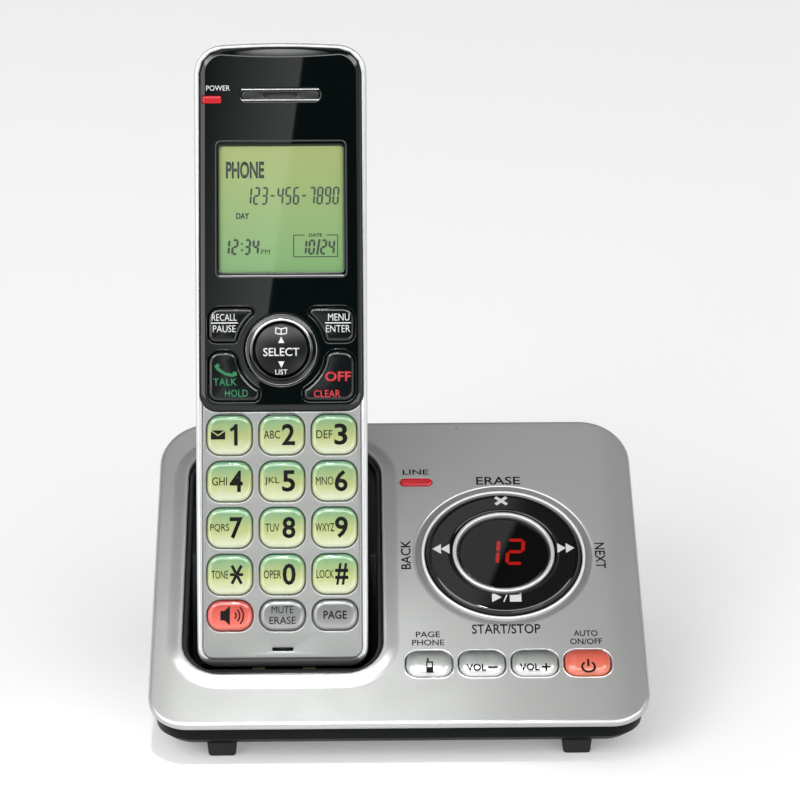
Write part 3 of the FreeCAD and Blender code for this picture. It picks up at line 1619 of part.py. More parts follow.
# Twelve number keys, three function keys and four soft keys
handset_ceiling = -panel_thickness - handset_play
number_flange = (side_flange, end_flange, handset_flange_height)
number_labels = [
    "number_1_key number_2_key number_3_key",
    "number_4_key number_5_key number_6_key",
    "number_7_key number_8_key number_9_key",
    "star_key number_0_key hash_key",
]
handset_keys = []
for row, labels in enumerate(number_labels):
    for column, label in enumerate(labels.split()):
        spot_x = (column - 1) * number_column_pitch
        spot_y = number_top_row - row * number_row_pitch
        draw_plan = box_plan(spot_x, spot_y, number_key_width, number_key_height, number_key_corner)
        handset_keys.append((label, draw_plan, handset_key_proud, spot_x, spot_y))
for column, label in enumerate(["speaker_key", "mute_key", "intercom_key"]):
    spot_x = (column - 1) * number_column_pitch
    draw_plan = box_plan(spot_x, function_row, number_key_width, function_key_height, number_key_corner)
    handset_keys.append((label, draw_plan, handset_key_proud, spot_x, function_row))
menu_row = (menu_keys_near + menu_keys_far) / 2
talk_row = (talk_keys_near + talk_keys_far) / 2
soft_column = (soft_key_outer + navigation_clearance) / 2
soft_spots = [(-1, menu_row), (1, menu_row), (-1, talk_row), (1, talk_row)]
for (label, draw_plan), (side, spot_y) in zip(soft_keys.items(), soft_spots):
    handset_keys.append((label, draw_plan, plate_proud + soft_key_proud, side * soft_column, spot_y))
for label, draw_plan, top, spot_x, spot_y in handset_keys:
    key_body(label, "handset", draw_plan, top, handset_ceiling, number_flange, handset_key_bevel)

# Key mat with a dome under every key, and the circuit board behind it
handset_board = -handset_board_depth
handset_mat = new_body("handset_key_mat", "handset")
handset_mat_plan = sketch_on(handset_mat, "XY", handset_board)
draw_cut_box(
    handset_mat_plan,
    0,
    (handset_mat_top + handset_mat_bottom) / 2,
    2 * handset_board_half_width,
    handset_mat_top - handset_mat_bottom,
    handset_bottom_corner / 2,
)
pad(handset_mat, handset_mat_plan, mat_thickness)
dome_top = handset_ceiling - handset_flange_height - handset_key_travel - plate_gap
domes = sketch_on(handset_mat, "XY", handset_board + mat_thickness)
for label, draw_plan, top, spot_x, spot_y in handset_keys:
    draw_box(domes, spot_x, spot_y, dome_width, dome_width)
for away in (-1, 1):
    dome_up = navigation_up + away * (navigation_key_radius - dome_width / 2)
    draw_box(domes, 0, dome_up, dome_width, dome_width)
pad(handset_mat, domes, dome_top - handset_board - mat_thickness, draft=-front_draft)

handset_board_body = new_body("handset_circuit_board", "handset")
handset_board_plan = sketch_on(handset_board_body, "XY", handset_board)
draw_cut_box(
    handset_board_plan,
    0,
    (handset_board_bottom + handset_board_top) / 2,
    2 * handset_board_half_width,
    handset_board_top - handset_board_bottom,
    handset_bottom_corner / 2,
)
draw_circle(handset_board_plan, 0, earpiece_up, receiver_radius + handset_play)
for side in (-1, 1):
    draw_circle(
        handset_board_plan, side * handset_screw_x, handset_screw_up, handset_boss_radius + handset_play
    )
pad(handset_board_body, handset_board_plan, handset_board_thickness, other_way=True)

# Screen, earpiece grille, receiver, charge light and microphone
screen = new_body("screen_module", "handset")
screen_plan = sketch_on(screen, "XY", -panel_thickness - plate_gap)
draw_box(screen_plan, 0, screen_middle, 2 * screen_half_width, screen_top - screen_bottom)
pad(screen, screen_plan, screen_thickness, other_way=True)

grille = new_body("earpiece_grille", "handset")
grille_plan = sketch_on(grille, "XY", -panel_thickness)
draw_box(grille_plan, 0, earpiece_up, earpiece_width, earpiece_height)
draw_box(grille_plan, 0, earpiece_up, earpiece_slot_width, earpiece_slot_height)
pad(grille, grille_plan, panel_thickness + plate_proud / 2)

receiver = new_body("earpiece_receiver", "handset")
receiver_plan = sketch_on(receiver, "XY", -face_wall - plate_gap)
draw_circle(receiver_plan, 0, earpiece_up, receiver_radius)
pad(receiver, receiver_plan, receiver_depth, other_way=True)

charge_light = new_body("charge_light", "handset")
charge_plan = sketch_on(charge_light, "XY", handset_board)
draw_box(charge_plan, charge_light_x, charge_light_up, charge_light_length, charge_light_width)
pad(charge_light, charge_plan, handset_board_depth + plate_proud)

microphone = new_body("microphone", "handset")
microphone_plan = sketch_on(microphone, "XY", handset_board)
draw_circle(microphone_plan, 0, microphone_up, microphone_radius)
pad(microphone, microphone_plan, handset_board_depth - face_wall - plate_gap)

# Back case: deep shell with the battery well, the door's recess and a tapered heel below the door
back_case = new_body("handset_back_case", "handset")
back_plan = sketch_on(back_case, "XY", -parting_depth)
draw_handset_plan(back_plan)
pad(back_case, back_plan, handset_thickness - parting_depth, other_way=True)
soften(back_case, "Chamfer", lambda edge, faces: lies_at(edge, -handset_thickness), back_bevel)
door_floor = handset_thickness - door_wall - door_gap
heel_waste = sketch_on(back_case, "YZ")
draw_outline(
    heel_waste,
    [
        (door_bottom - door_gap, -door_floor),
        (heel_chamfer, -heel_thickness),
        (-heel_chamfer, -heel_thickness + 2 * heel_chamfer),
        (-heel_chamfer, -handset_thickness * OVERSIZE),
        (door_bottom - door_gap, -handset_thickness * OVERSIZE),
    ],
)
pocket(back_case, heel_waste, both_ways=True)
inside_hollow = sketch_on(back_case, "XY", -parting_depth)
draw_handset_plan(inside_hollow, case_wall)
well_half_width = battery_cell_diameter + battery_gap
well_length = battery_length + 2 * battery_gap
well_middle = battery_bottom + battery_length / 2
draw_cut_box(
    inside_hollow,
    0,
    well_middle,
    2 * (well_half_width + well_thickness),
    well_length + 2 * well_thickness,
    well_thickness,
)
for side in (-1, 1):
    draw_circle(
        inside_hollow, side * handset_screw_x, handset_screw_up, handset_boss_radius + well_thickness / 2
    )
pocket(back_case, inside_hollow, hollow_depth)

# Recess of the battery door, with undercuts in which the door's tongues slide, and the battery well
door_recess = sketch_on(back_case, "XY", -handset_thickness)
door_middle = (door_bottom + door_top) / 2
# The recess runs out into the heel, so that the door can slide down.
recess_bottom = door_bottom - door_corner * OVERSIZE
draw_cut_box(
    door_recess,
    0,
    (recess_bottom + door_top) / 2,
    2 * (door_half_width + door_gap),
    door_top - recess_bottom + 2 * door_gap,
    door_corner + door_gap,
)
pocket(back_case, door_recess, door_wall + door_gap, other_way=True)
undercut_depth = tongue_thickness + tongue_play
undercuts = sketch_on(back_case, "XY", -door_floor - undercut_depth)
draw_box(
    undercuts,
    0,
    (tongue_top + tongue_bottom - door_travel) / 2,
    2 * (door_half_width + tongue_width + door_gap),
    tongue_top - tongue_bottom + door_travel + 2 * door_gap,
)
pocket(back_case, undercuts, undercut_depth, other_way=True)
battery_well = sketch_on(back_case, "XY", -door_floor)
draw_box(battery_well, 0, well_middle, 2 * well_half_width, well_length)
well_depth = battery_cell_diameter + battery_gap
pocket(back_case, battery_well, well_depth, other_way=True)

# Screw seats of the back case, and the slots of its charging contacts
screw_seat = parting_depth + seat_thickness
back_wells = sketch_on(back_case, "XY", -door_floor)
for side in (-1, 1):
    draw_circle(back_wells, side * handset_screw_x, handset_screw_up, handset_boss_radius)
pocket(back_case, back_wells, door_floor - screw_seat, other_way=True)
back_holes = sketch_on(back_case, "XY", -screw_seat)
for side in (-1, 1):
    draw_circle(back_holes, side * handset_screw_x, handset_screw_up, handset_screw_radius + running_gap)
pocket(back_case, back_holes, seat_thickness * OVERSIZE, other_way=True)
contact_seats = sketch_on(back_case, "XZ")
leg_slots = sketch_on(back_case, "XZ")
leg_depth = contact_depth - (contact_length - contact_wall) / 2
for side in (-1, 1):
    draw_box(contact_seats, side * contact_x, -contact_depth, contact_width, contact_length)
    draw_box(leg_slots, side * contact_x, -leg_depth, contact_width, contact_wall)
pocket(back_case, contact_seats, contact_wall)
pocket(back_case, leg_slots, case_wall * OVERSIZE)

# Battery door: slides down off the well, with a tongue on either side and a dish for the thumb
door = new_body("battery_door", "handset")
door_plan = sketch_on(door, "XY", -handset_thickness)
draw_cut_box(door_plan, 0, door_middle, 2 * door_half_width, door_top - door_bottom, door_corner)
door_inside = door_floor + running_gap
pad(door, door_plan, handset_thickness - door_inside)
tongues = sketch_on(door, "XY", -door_inside)
draw_box(
    tongues,
    0,
    (tongue_top + tongue_bottom) / 2,
    2 * (door_half_width + tongue_width),
    tongue_top - tongue_bottom,
)
pad(door, tongues, tongue_thickness, other_way=True)
thumb_dish = sketch_on(door, "XY", -handset_thickness)
draw_circle(thumb_dish, 0, door_bottom + grip_rise, grip_radius)
pocket(door, thumb_dish, grip_depth, other_way=True)

# Battery pack: two cells side by side
battery = new_body("battery_pack", "handset")
cell_radius = battery_cell_diameter / 2
cell_depth = door_floor - well_depth + cell_radius + running_gap
for side in (-1, 1):
    cell = sketch_on(battery, "XZ", battery_bottom)
    draw_circle(cell, side * (cell_radius - running_gap), -cell_depth, cell_radius)
    pad(battery, cell, battery_length, other_way=True)

# Handset screws, driven from under the battery door
handset_screws = new_body("handset_case_screws", "handset", several_solids=True)
screw_tip = (parting_depth + face_wall) / 2
for side in (-1, 1):
    turned(
        handset_screws,
        side * handset_screw_x,
        handset_screw_up,
        [
            (0, -screw_seat - screw_head_height),
            (handset_screw_head, -screw_seat - screw_head_height),
            (handset_screw_head, -screw_seat),
            (handset_screw_radius, -screw_seat),
            (handset_screw_radius, -screw_tip),
            (0, -screw_tip),
        ],
    )

# Charging contacts: two plates flush with the chin, each bent up through the wall
contacts = new_body("handset_charge_contacts", "handset", several_solids=True)
contact_low = contact_depth + contact_length / 2
contact_high = contact_depth - contact_length / 2
for side in (-1, 1):
    bent_plate = sketch_on(contacts, "YZ", side * contact_x)
    draw_outline(
        bent_plate,
        [
            (0, -contact_high),
            (0, -contact_low),
            (contact_wall, -contact_low),
            (contact_wall, -contact_high - contact_wall),
            (contact_leg, -contact_high - contact_wall),
            (contact_leg, -contact_high),
        ],
    )
    pad(contacts, bent_plate, contact_width, both_ways=True)

# Every feature has to work, every sub-part has to be sound, and every cut has to take something away
document.recompute()
faults = [item.Label for item in document.Objects if "Invalid" in item.State or "Error" in item.State]
faults += [item.Label for item in sub_parts if item.Shape.isNull() or not item.Shape.isValid()]
for item in document.Objects:
    if item.TypeId == "PartDesign::Pocket" and item.Label not in faults:
        if item.Shape.Volume > item.BaseFeature.Shape.Volume - SMALLEST_CUT:
            faults.append(item.Label + " cuts nothing")
if faults:
    raise RuntimeError("These failed: " + ", ".join(faults))
os.makedirs("parts", exist_ok=True)
for item in sub_parts:
    item.Shape.exportStep("parts/" + item.Label + ".step")
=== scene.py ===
"""A cordless telephone's answering base, with its handset standing in the cradle."""

import math

import bmesh
import bpy
from mathutils import Matrix, Vector


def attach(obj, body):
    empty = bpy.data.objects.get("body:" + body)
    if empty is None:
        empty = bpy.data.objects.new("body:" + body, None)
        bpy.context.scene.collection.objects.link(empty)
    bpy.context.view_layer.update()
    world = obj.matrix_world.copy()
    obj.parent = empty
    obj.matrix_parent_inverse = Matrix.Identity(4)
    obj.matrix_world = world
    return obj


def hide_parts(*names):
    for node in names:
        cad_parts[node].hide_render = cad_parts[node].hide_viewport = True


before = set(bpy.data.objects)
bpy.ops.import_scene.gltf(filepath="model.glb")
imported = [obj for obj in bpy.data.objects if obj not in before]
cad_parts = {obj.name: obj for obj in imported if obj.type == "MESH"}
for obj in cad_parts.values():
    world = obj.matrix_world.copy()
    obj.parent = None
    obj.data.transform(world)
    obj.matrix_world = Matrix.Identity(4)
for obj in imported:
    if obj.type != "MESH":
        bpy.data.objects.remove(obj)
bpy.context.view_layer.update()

# ---------------------------------------------------------------- camera
# The camera stands a little left of the middle, well back, and looks down at 23 degrees
# through a long lens.


def placed(name, data):
    """A new object in the scene."""
    made = bpy.data.objects.new(name, data)
    bpy.context.scene.collection.objects.link(made)
    return made


camera_data = bpy.data.cameras.new("camera")
camera_data.lens = 130.9
camera_data.clip_end = 50
camera = placed("camera", camera_data)
camera_spot = Vector((-0.0117, -0.7454, 0.3977))
camera_aim = Vector((-0.00004, -0.0618, 0.10748))
camera.location = camera_spot
camera.rotation_euler = (camera_aim - camera_spot).to_track_quat("-Z", "Y").to_euler()
bpy.context.scene.camera = camera

# ---------------------------------------------------------------- studio
# A pale table top in a white room with a dim ceiling, lit by three soft boxes. Lit screens
# hang where their straight edges show as the slanting reflections on the gloss black parts,
# and a narrow beam falls on the cover's front.
studio = bpy.data.worlds.new("studio")
studio.use_nodes = True
bpy.context.scene.world = studio


def fed(tree, kind, operation, *values):
    """Output of a new shader node whose inputs are given, in order, as sockets or numbers."""
    node = tree.nodes.new("ShaderNode" + kind)
    if operation:
        node.operation = operation
    for entry, value in zip(node.inputs, values):
        if isinstance(value, bpy.types.NodeSocket):
            tree.links.new(value, entry)
        elif value is not None:
            entry.default_value = value
    return node.outputs.get("Value") or node.outputs[0]


def product(tree, *values):
    """Output that multiplies several values."""
    result = values[0]
    for value in values[1:]:
        result = fed(tree, "Math", "MULTIPLY", result, value)
    return result


def tuned(material, values):
    """Set inputs of a material's shader by name."""
    for label, value in values.items():
        material.node_tree.nodes["Principled BSDF"].inputs[label].default_value = value
    return material


def mirrored(tree):
    """Output that is 1 for a ray that was mirrored or went through glass."""
    rays = tree.nodes.new("ShaderNodeLightPath").outputs
    return fed(tree, "Math", "MAXIMUM", rays["Is Glossy Ray"], rays["Is Transmission Ray"])


room = studio.node_tree
way = room.nodes.new("ShaderNodeTexCoord").outputs["Generated"]
split = room.nodes.new("ShaderNodeSeparateXYZ")
room.links.new(way, split.inputs["Vector"])
deep, high = split.outputs["Y"], split.outputs["Z"]
in_front = fed(room, "Math", "LESS_THAN", deep, 0.0)
walls = fed(room, "MapRange", None, high, 0.3, 0.48, 1, 0.015)
screen_side = fed(room, "VectorMath", "DOT_PRODUCT", way, (0.9894, -0.1051, -0.1005))
screen = product(
    room, fed(room, "MapRange", None, screen_side, -0.033, 0, 0.1, 1.15), in_front,
    fed(room, "Math", "LESS_THAN", screen_side, 0.0), fed(room, "Math", "GREATER_THAN", high, 0.47),
    fed(room, "Math", "LESS_THAN", high, 0.7),
)
roof_side = fed(room, "VectorMath", "DOT_PRODUCT", way, (0.9525, -0.3034, 0.0270))
roof = product(
    room, fed(room, "MapRange", None, roof_side, -0.004, 0.004, 0.72, 0.07),
    fed(room, "Math", "GREATER_THAN", high, 0.93),
)
strip_light = product(
    room, in_front, 6.0, fed(room, "MapRange", None, high, 0.68, 0.74, 0, 1),
    fed(room, "MapRange", None, high, 0.88, 0.94, 1, 0),
)
lit = walls
for part in (screen, roof, strip_light):
    lit = fed(room, "Math", "ADD", lit, part)
camera_ray = room.nodes.new("ShaderNodeLightPath").outputs["Is Camera Ray"]
seen_tone = fed(room, "Math", "MAXIMUM", camera_ray, product(room, lit, mirrored(room)))
is_seen = fed(room, "Math", "MAXIMUM", camera_ray, mirrored(room))
even_light = room.nodes["Background"]
even_light.inputs["Color"].default_value = (1, 1, 1, 1)
even_light.inputs["Strength"].default_value = 0.57
blend = fed(
    room, "MixShader", None, is_seen, even_light.outputs["Background"],
    fed(room, "Background", None, (1, 1, 1, 1), seen_tone),
)
room.links.new(blend, room.nodes["World Output"].inputs["Surface"])


def soft_box(name, spot, aim, width, height, power):
    """Hang a rectangular lamp at a spot, pointing at an aim."""
    lamp = bpy.data.lights.new(name, "AREA")
    lamp.shape = "RECTANGLE"
    lamp.size = width
    lamp.size_y = height
    lamp.energy = power
    lamp_object = placed(name, lamp)
    towards = (Vector(aim) - Vector(spot)).to_track_quat("-Z", "Y").to_matrix().to_4x4()
    lamp_object.matrix_world = Matrix.Translation(spot) @ towards
    return lamp_object


middle_of_phone = (0, 0, 0.05)
soft_box("left_box", (-1.1, -0.9, 1.1), middle_of_phone, 1.3, 1.3, 14)
soft_box("right_box", (1.2, -0.7, 1.0), middle_of_phone, 1.3, 1.3, 3.5)
soft_box("front_box", (0.3, -0.55, 0.2), (0.02, -0.05, 0.02), 0.4, 0.3, 0.7)
# A narrow beam from above brings out the front of the sloping cover.
beam = soft_box("beam", (-0.06, -0.2, 0.95), (-0.025, -0.062, 0.02), 0.06, 0.06, 0.017)
beam.data.spread = math.radians(10)

table_data = bpy.data.meshes.new("table_top")
reach = 6
table_data.from_pydata(
    [(-reach, -reach, 0), (reach, -reach, 0), (reach, reach, 0), (-reach, reach, 0)], [], [(0, 1, 2, 3)]
)
table_top = placed("table_top", table_data)
table_finish = bpy.data.materials.new("pale_table")
table_finish.use_nodes = True
table = table_finish.node_tree
tuned(table_finish, {"Base Color": (0.86, 0.86, 0.86, 1), "Roughness": 0.9, "Specular IOR Level": 0.1})
table_camera_ray = table.nodes.new("ShaderNodeLightPath").outputs["Is Camera Ray"]
table_seen = fed(table, "Math", "MAXIMUM", table_camera_ray, mirrored(table))
table_glow = fed(table, "Emission", None, (1, 1, 1, 1), product(table, table_seen, 0.22))
table.links.new(
    fed(table, "AddShader", None, table.nodes["Principled BSDF"].outputs["BSDF"], table_glow),
    table.nodes["Material Output"].inputs["Surface"],
)
table_data.materials.append(table_finish)

bpy.context.scene.view_settings.view_transform = "Standard"

# ---------------------------------------------------------------- top cover
# The silver top cover is a 2 mm moulding of ABS, sprayed with a fine metallic paint. Its
# sides roll down, a rim stands round the cradle, and a dish is sunk round the dial. It
# snaps down over the black bottom cover.
PANEL = (
    Matrix.Translation((0, -0.0618, 0.013))
    @ Matrix.Rotation(math.radians(25), 4, "X")
    @ Matrix.Scale(0.001, 4)
)


def outline(corners, inset=0.0, steps=8):
    """Points of a closed outline, given as (x, y, rounding) counterclockwise, moved inwards."""
    points = []
    for index, (x, y, rounding) in enumerate(corners):
        here = Vector((x, y))
        came = (here - Vector(corners[index - 1][:2])).normalized()
        goes = (Vector(corners[(index + 1) % len(corners)][:2]) - here).normalized()
        in_came = Vector((-came.y, came.x))
        in_goes = Vector((-goes.y, goes.x))
        moved = here + (in_came + in_goes) * (inset / (1 + in_came.dot(in_goes)))
        turn = math.atan2(came.cross(goes), came.dot(goes))
        side = 1 if turn > 0 else -1
        radius = max(rounding - side * inset, 0.02)
        start = moved - came * radius * math.tan(abs(turn) / 2)
        middle = start + in_came * radius * side
        for step in range(steps + 1):
            angle = turn * step / steps
            arm = (start - middle).to_3d()
            arm.rotate(Matrix.Rotation(angle, 3, "Z"))
            points.append(middle + arm.to_2d())
    return points


def box_corners(x, y, width, height, rounding):
    """Corners of a rounded rectangle about its middle."""
    return [
        (x - width / 2, y - height / 2, rounding),
        (x + width / 2, y - height / 2, rounding),
        (x + width / 2, y + height / 2, rounding),
        (x - width / 2, y + height / 2, rounding),
    ]


def edge_of(corners, profile, steps=8):
    """Loops of an outline along a profile of (inset, level)."""
    return [(outline(corners, inset, steps), level) for inset, level in profile]


def circle_edge(x, y, profile, count=96):
    """Loops of a round edge along a profile of (radius, level)."""
    turns = [2 * math.pi * step / count for step in range(count)]
    return [
        ([Vector((x + radius * math.cos(t), y + radius * math.sin(t))) for t in turns], level)
        for radius, level in profile
    ]


def shaded(data, smooth):
    """A mesh shaded smooth where its faces meet at less than an angle."""
    data.shade_smooth()
    data.set_sharp_from_angle(angle=math.radians(smooth))
    return data


def as_mesh(mesh, smooth=None):
    """A bmesh as a mesh, flat or shaded smooth below an angle."""
    data = bpy.data.meshes.new("mesh")
    mesh.to_mesh(data)
    mesh.free()
    return shaded(data, smooth) if smooth else data


def moulding(outside, holes=(), shape=None, cuts=()):
    """A closed piece from loops, which run from the face's flat over the edge to the back's."""
    mesh = bmesh.new()
    faces_first = []
    backs = []
    for loops in [outside, *holes]:
        rows = [[mesh.verts.new((p.x, p.y, level)) for p in points] for points, level in loops]
        for upper, lower in zip(rows, rows[1:]):
            for index in range(len(upper)):
                after = (index + 1) % len(upper)
                mesh.faces.new((upper[index], upper[after], lower[after], lower[index]))
        faces_first.append(rows[0])
        backs.append(rows[-1])
    for group in (faces_first, backs):
        rim_edges = [
            mesh.edges.get((a, b)) or mesh.edges.new((a, b))
            for loop in group
            for a, b in zip(loop, loop[1:] + loop[:1])
        ]
        bmesh.ops.triangle_fill(mesh, use_beauty=True, edges=rim_edges, normal=(0, 0, 1))
    for spot, way in cuts:
        everything = mesh.verts[:] + mesh.edges[:] + mesh.faces[:]
        bmesh.ops.bisect_plane(mesh, geom=everything, dist=0.00001, plane_co=spot, plane_no=way)
    if shape:
        for vertex in mesh.verts:
            vertex.co = shape(vertex.co)
    bmesh.ops.dissolve_degenerate(mesh, dist=0.002, edges=mesh.edges[:])
    bmesh.ops.recalc_face_normals(mesh, faces=mesh.faces[:])
    return as_mesh(mesh, 35)


def piece(name, data, place, finish_used, body, slot, *nodes):
    """Put a mesh at its place as a piece of a body, in place of the named CAD nodes."""
    data.name = name
    data.transform(place)
    made = placed(name, data)
    data.materials.clear()
    data.materials.append(finish_used)
    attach(made, body)
    if nodes:
        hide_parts(*nodes)
    return made


def finish(name, tone, roughness, speckle=0.03, grain=2500.0, relief=0.02, metallic=0.0):
    """A material whose colour, gloss and relief vary finely over the surface."""
    material = bpy.data.materials.new(name)
    material.use_nodes = True
    tree = material.node_tree
    shader = tree.nodes["Principled BSDF"]
    shader.inputs["Metallic"].default_value = metallic
    spot = tree.nodes.new("ShaderNodeTexCoord").outputs["Object"]
    fine = fed(tree, "TexNoise", None, spot, None, grain, 2)
    broad = fed(tree, "TexNoise", None, spot, None, grain / 60, 3)
    tones = tree.nodes.new("ShaderNodeMix")
    tones.data_type = "RGBA"
    for end, share in (("A", 1 - speckle), ("B", 1 + speckle)):
        tones.inputs[end].default_value = (*[c * share for c in tone], 1)
    tree.links.new(fine, tones.inputs["Factor"])
    tree.links.new(tones.outputs["Result"], shader.inputs["Base Color"])
    gloss = fed(tree, "MapRange", None, broad, None, None, roughness * 0.85, roughness * 1.15)
    tree.links.new(gloss, shader.inputs["Roughness"])
    bump = tree.nodes.new("ShaderNodeBump")
    bump.inputs["Strength"].default_value = relief
    bump.inputs["Distance"].default_value = 0.0005
    tree.links.new(fine, bump.inputs["Height"])
    tree.links.new(bump.outputs["Normal"], shader.inputs["Normal"])
    return material


def sprayed(name, tone, roughness, metallic=0.0):
    """A fine metallic paint."""
    return finish(name, tone, roughness, speckle=0.1, grain=6000, relief=0.03, metallic=metallic)


silver_paint = sprayed("silver_paint", (0.5, 0.51, 0.5), 0.3, 0.55)
cover_corners = [(-68, 0, 11), (68, 0, 11), (68, 108.4, 14.5), (-68, 108.4, 14.5)]
cover_edge = [
    (1.4, 0), (1.1, 0), (0.7, -0.04), (0.35, -0.16), (0.12, -0.36), (0, -0.65), (0, -1.7), (0.1, -1.9),
    (0.3, -2), (1.2, -2),
]
cradle_corners = box_corners(-31.75, 57.6, 55.3, 82, 11)
cradle_rim = [
    (-4.6, 0), (-4.3, 0), (-3.8, 0.05), (-3.2, 0.18), (-2.5, 0.42), (-1.8, 0.7), (-1.25, 0.9),
    (-0.8, 0.99), (-0.45, 1), (-0.2, 0.95), (-0.05, 0.8), (0, 0.55), (0, -2), (-1, -2),
]
dial_dish = [
    (25.9, 0), (25.5, 0), (25.1, -0.06), (24.8, -0.25), (24.6, -0.55), (24.45, -0.85), (24.25, -1.02),
    (24, -1.08), (23.4, -1.1), (23.2, -1.2), (23.2, -2), (24, -2),
]
DIAL = (30, 58.4)
BASE_KEY = (12.4, 8.4, 3.3)
BASE_KEY_PITCH = 14.43
BASE_KEY_ROW = 20
base_keys = [8.2 + BASE_KEY_PITCH * number for number in range(4)]
LIGHT = (5.9, 85.2, 9.2, 2.8, 1.37)
ROLL_START = 58
ROLL_RADIUS = 60
key_opening = [
    (-0.95, 0), (-0.7, 0), (-0.5, -0.04), (-0.38, -0.16), (-0.35, -0.35), (-0.35, -2), (-1, -2),
]
light_opening = [(-0.5, 0), (-0.3, 0), (-0.15, -0.05), (-0.1, -0.2), (-0.1, -2), (-0.6, -2)]


def roll_down(spot):
    """The cover's sides roll down on a wide arc."""
    past = max(abs(spot.x) - ROLL_START, 0)
    return Vector((spot.x, spot.y, spot.z - past * past / (2 * ROLL_RADIUS)))


cover_holes = [edge_of(cradle_corners, cradle_rim), circle_edge(*DIAL, dial_dish)]
cover_holes += [edge_of(box_corners(x, BASE_KEY_ROW, *BASE_KEY), key_opening) for x in base_keys]
cover_holes += [edge_of(box_corners(*LIGHT), light_opening)]
roll_steps = [side * (ROLL_START + step * 1.25) for side in (-1, 1) for step in range(8)]
roll_cuts = [((x, 0, 0), (1, 0, 0)) for x in roll_steps]
piece(
    "silver_top_cover",
    moulding(edge_of(cover_corners, cover_edge, 12), cover_holes, roll_down, roll_cuts), PANEL,
    silver_paint, "base", "silver_plastic", "base_top_cover",
)

# ---------------------------------------------------------------- bottom cover
# The black bottom cover is a wedge of textured ABS with drafted walls. The sockets are in
# its back wall and the loudspeaker's slots in its floor.


def evaluated(made):
    """The plain mesh that an object's modifiers or text make. The object goes."""
    bpy.context.view_layer.update()
    data = bpy.data.meshes.new_from_object(made.evaluated_get(bpy.context.evaluated_depsgraph_get()))
    bpy.data.objects.remove(made)
    return data


def rounded(name, node, width, finish_used, body, slot, segments=3):
    """Make a piece of a CAD node, with its seams merged and its sharp edges rounded."""
    mesh = bmesh.new()
    mesh.from_mesh(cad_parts[node].data)
    bmesh.ops.remove_doubles(mesh, verts=mesh.verts[:], dist=0.000004)
    bmesh.ops.dissolve_limit(
        mesh, angle_limit=math.radians(1.5), verts=mesh.verts[:], edges=mesh.edges[:],
        use_dissolve_boundaries=False,
    )
    softened = placed("softened", as_mesh(mesh))
    bevel = softened.modifiers.new("bevel", "BEVEL")
    bevel.width = width * 0.001
    bevel.segments = segments
    bevel.limit_method = "ANGLE"
    bevel.angle_limit = math.radians(30)
    bevel.miter_outer = "MITER_ARC"
    bevel.harden_normals = False
    data = shaded(evaluated(softened), 30)
    return piece(name, data, Matrix.Identity(4), finish_used, body, slot, node)


black_abs = finish("black_abs", (0.002, 0.003, 0.003), 0.42, speckle=0.2, grain=3500, relief=0.08)
tuned(black_abs, {"Specular IOR Level": 0.1})
rounded("black_bottom_cover", "base_bottom_cover", 0.35, black_abs, "base", "black_plastic", 2)

# ---------------------------------------------------------------- feet
# Four soft rubber feet are pressed into the floor of the bottom cover.
foot_rubber = finish("foot_rubber", (0.008, 0.008, 0.008), 0.8, speckle=0.25, grain=1800, relief=0.15)
rounded("soft_feet", "rubber_feet", 0.5, foot_rubber, "base", "rubber")

# ---------------------------------------------------------------- cradle
# The cradle's liner is a gloss black moulding that drops through the top cover and carries
# the two charging contacts.
liner_gloss = finish("liner_gloss", (0.008, 0.009, 0.01), 0.16, speckle=0.2, grain=1500, relief=0.01)
rounded("cradle_lining", "cradle_liner", 0.25, liner_gloss, "base", "cradle_plastic")

# ---------------------------------------------------------------- dial
# A darker grey ring lines the cover's dish, as painted shade, and a bezel pressed into it is
# painted near white, a painted reflection of its chrome. The rocking ring is gloss black, and a
# satin trim ring stands round the smoked window of the message counter.
# The bezel's near-white satin colour is a painted reflection of its bright chrome.
bezel_painted_reflection = finish("bezel_painted_reflection", (0.86, 0.86, 0.86), 0.4, grain=3000, relief=0.005, metallic=0.25)
bezel_profile = [
    (22.75, 0.3), (22.9, 0.28), (23.04, 0.18), (23.1, 0), (23.1, -2.2), (22.3, -2.2), (22.3, 0),
    (22.36, 0.18), (22.5, 0.28), (22.65, 0.3),
]


def ring(x, y, profile):
    """A closed ring turned from a profile of (radius, level), which runs once round its section."""
    mesh = bmesh.new()
    count = 128
    rows = []
    for step in range(count):
        angle = 2 * math.pi * step / count
        across, along = math.cos(angle), math.sin(angle)
        rows.append([mesh.verts.new((x + r * across, y + r * along, z)) for r, z in profile])
    for index, row in enumerate(rows):
        after = rows[(index + 1) % count]
        for low in range(len(profile)):
            high = (low + 1) % len(profile)
            mesh.faces.new((row[low], after[low], after[high], row[high]))
    bmesh.ops.recalc_face_normals(mesh, faces=mesh.faces[:])
    return as_mesh(mesh, 40)


# Painted shade: a darker grey ring lies in the dish round the dial.
painted_shade_grey = sprayed("painted_shade_grey", (0.2, 0.205, 0.2), 0.55)
shade_ring_profile = [
    (24.95, -0.1), (24.8, -0.08), (24.6, -0.26), (24.4, -0.5), (24.2, -0.75), (24, -0.9), (23.6, -0.97),
    (23.15, -0.98), (23.15, -1.5), (24.95, -1.5),
]
piece("dial_painted_shade_ring", ring(*DIAL, shade_ring_profile), PANEL, painted_shade_grey, "base", "silver_plastic")
piece(
    "dial_bezel", ring(*DIAL, bezel_profile), PANEL, bezel_painted_reflection, "base", "bright_trim",
    "dial_bezel_ring",
)
rocker_gloss = finish(
    "rocker_gloss", (0.006, 0.006, 0.007), 0.03, speckle=0.1, grain=1500, relief=0.004,
)
rocker_profile = [
    (21.85, -2.05), (21.85, -0.9), (21.8, -0.6), (21.65, -0.15), (21.45, 0.25), (21.2, 0.58),
    (20.85, 0.82), (20.4, 0.95), (19.9, 1.0), (19.6, 1.0), (15.7, 1.0), (15.45, 1.0), (15.2, 0.95),
    (15.0, 0.8), (14.88, 0.5), (14.85, 0.15), (14.85, -2.05),
]
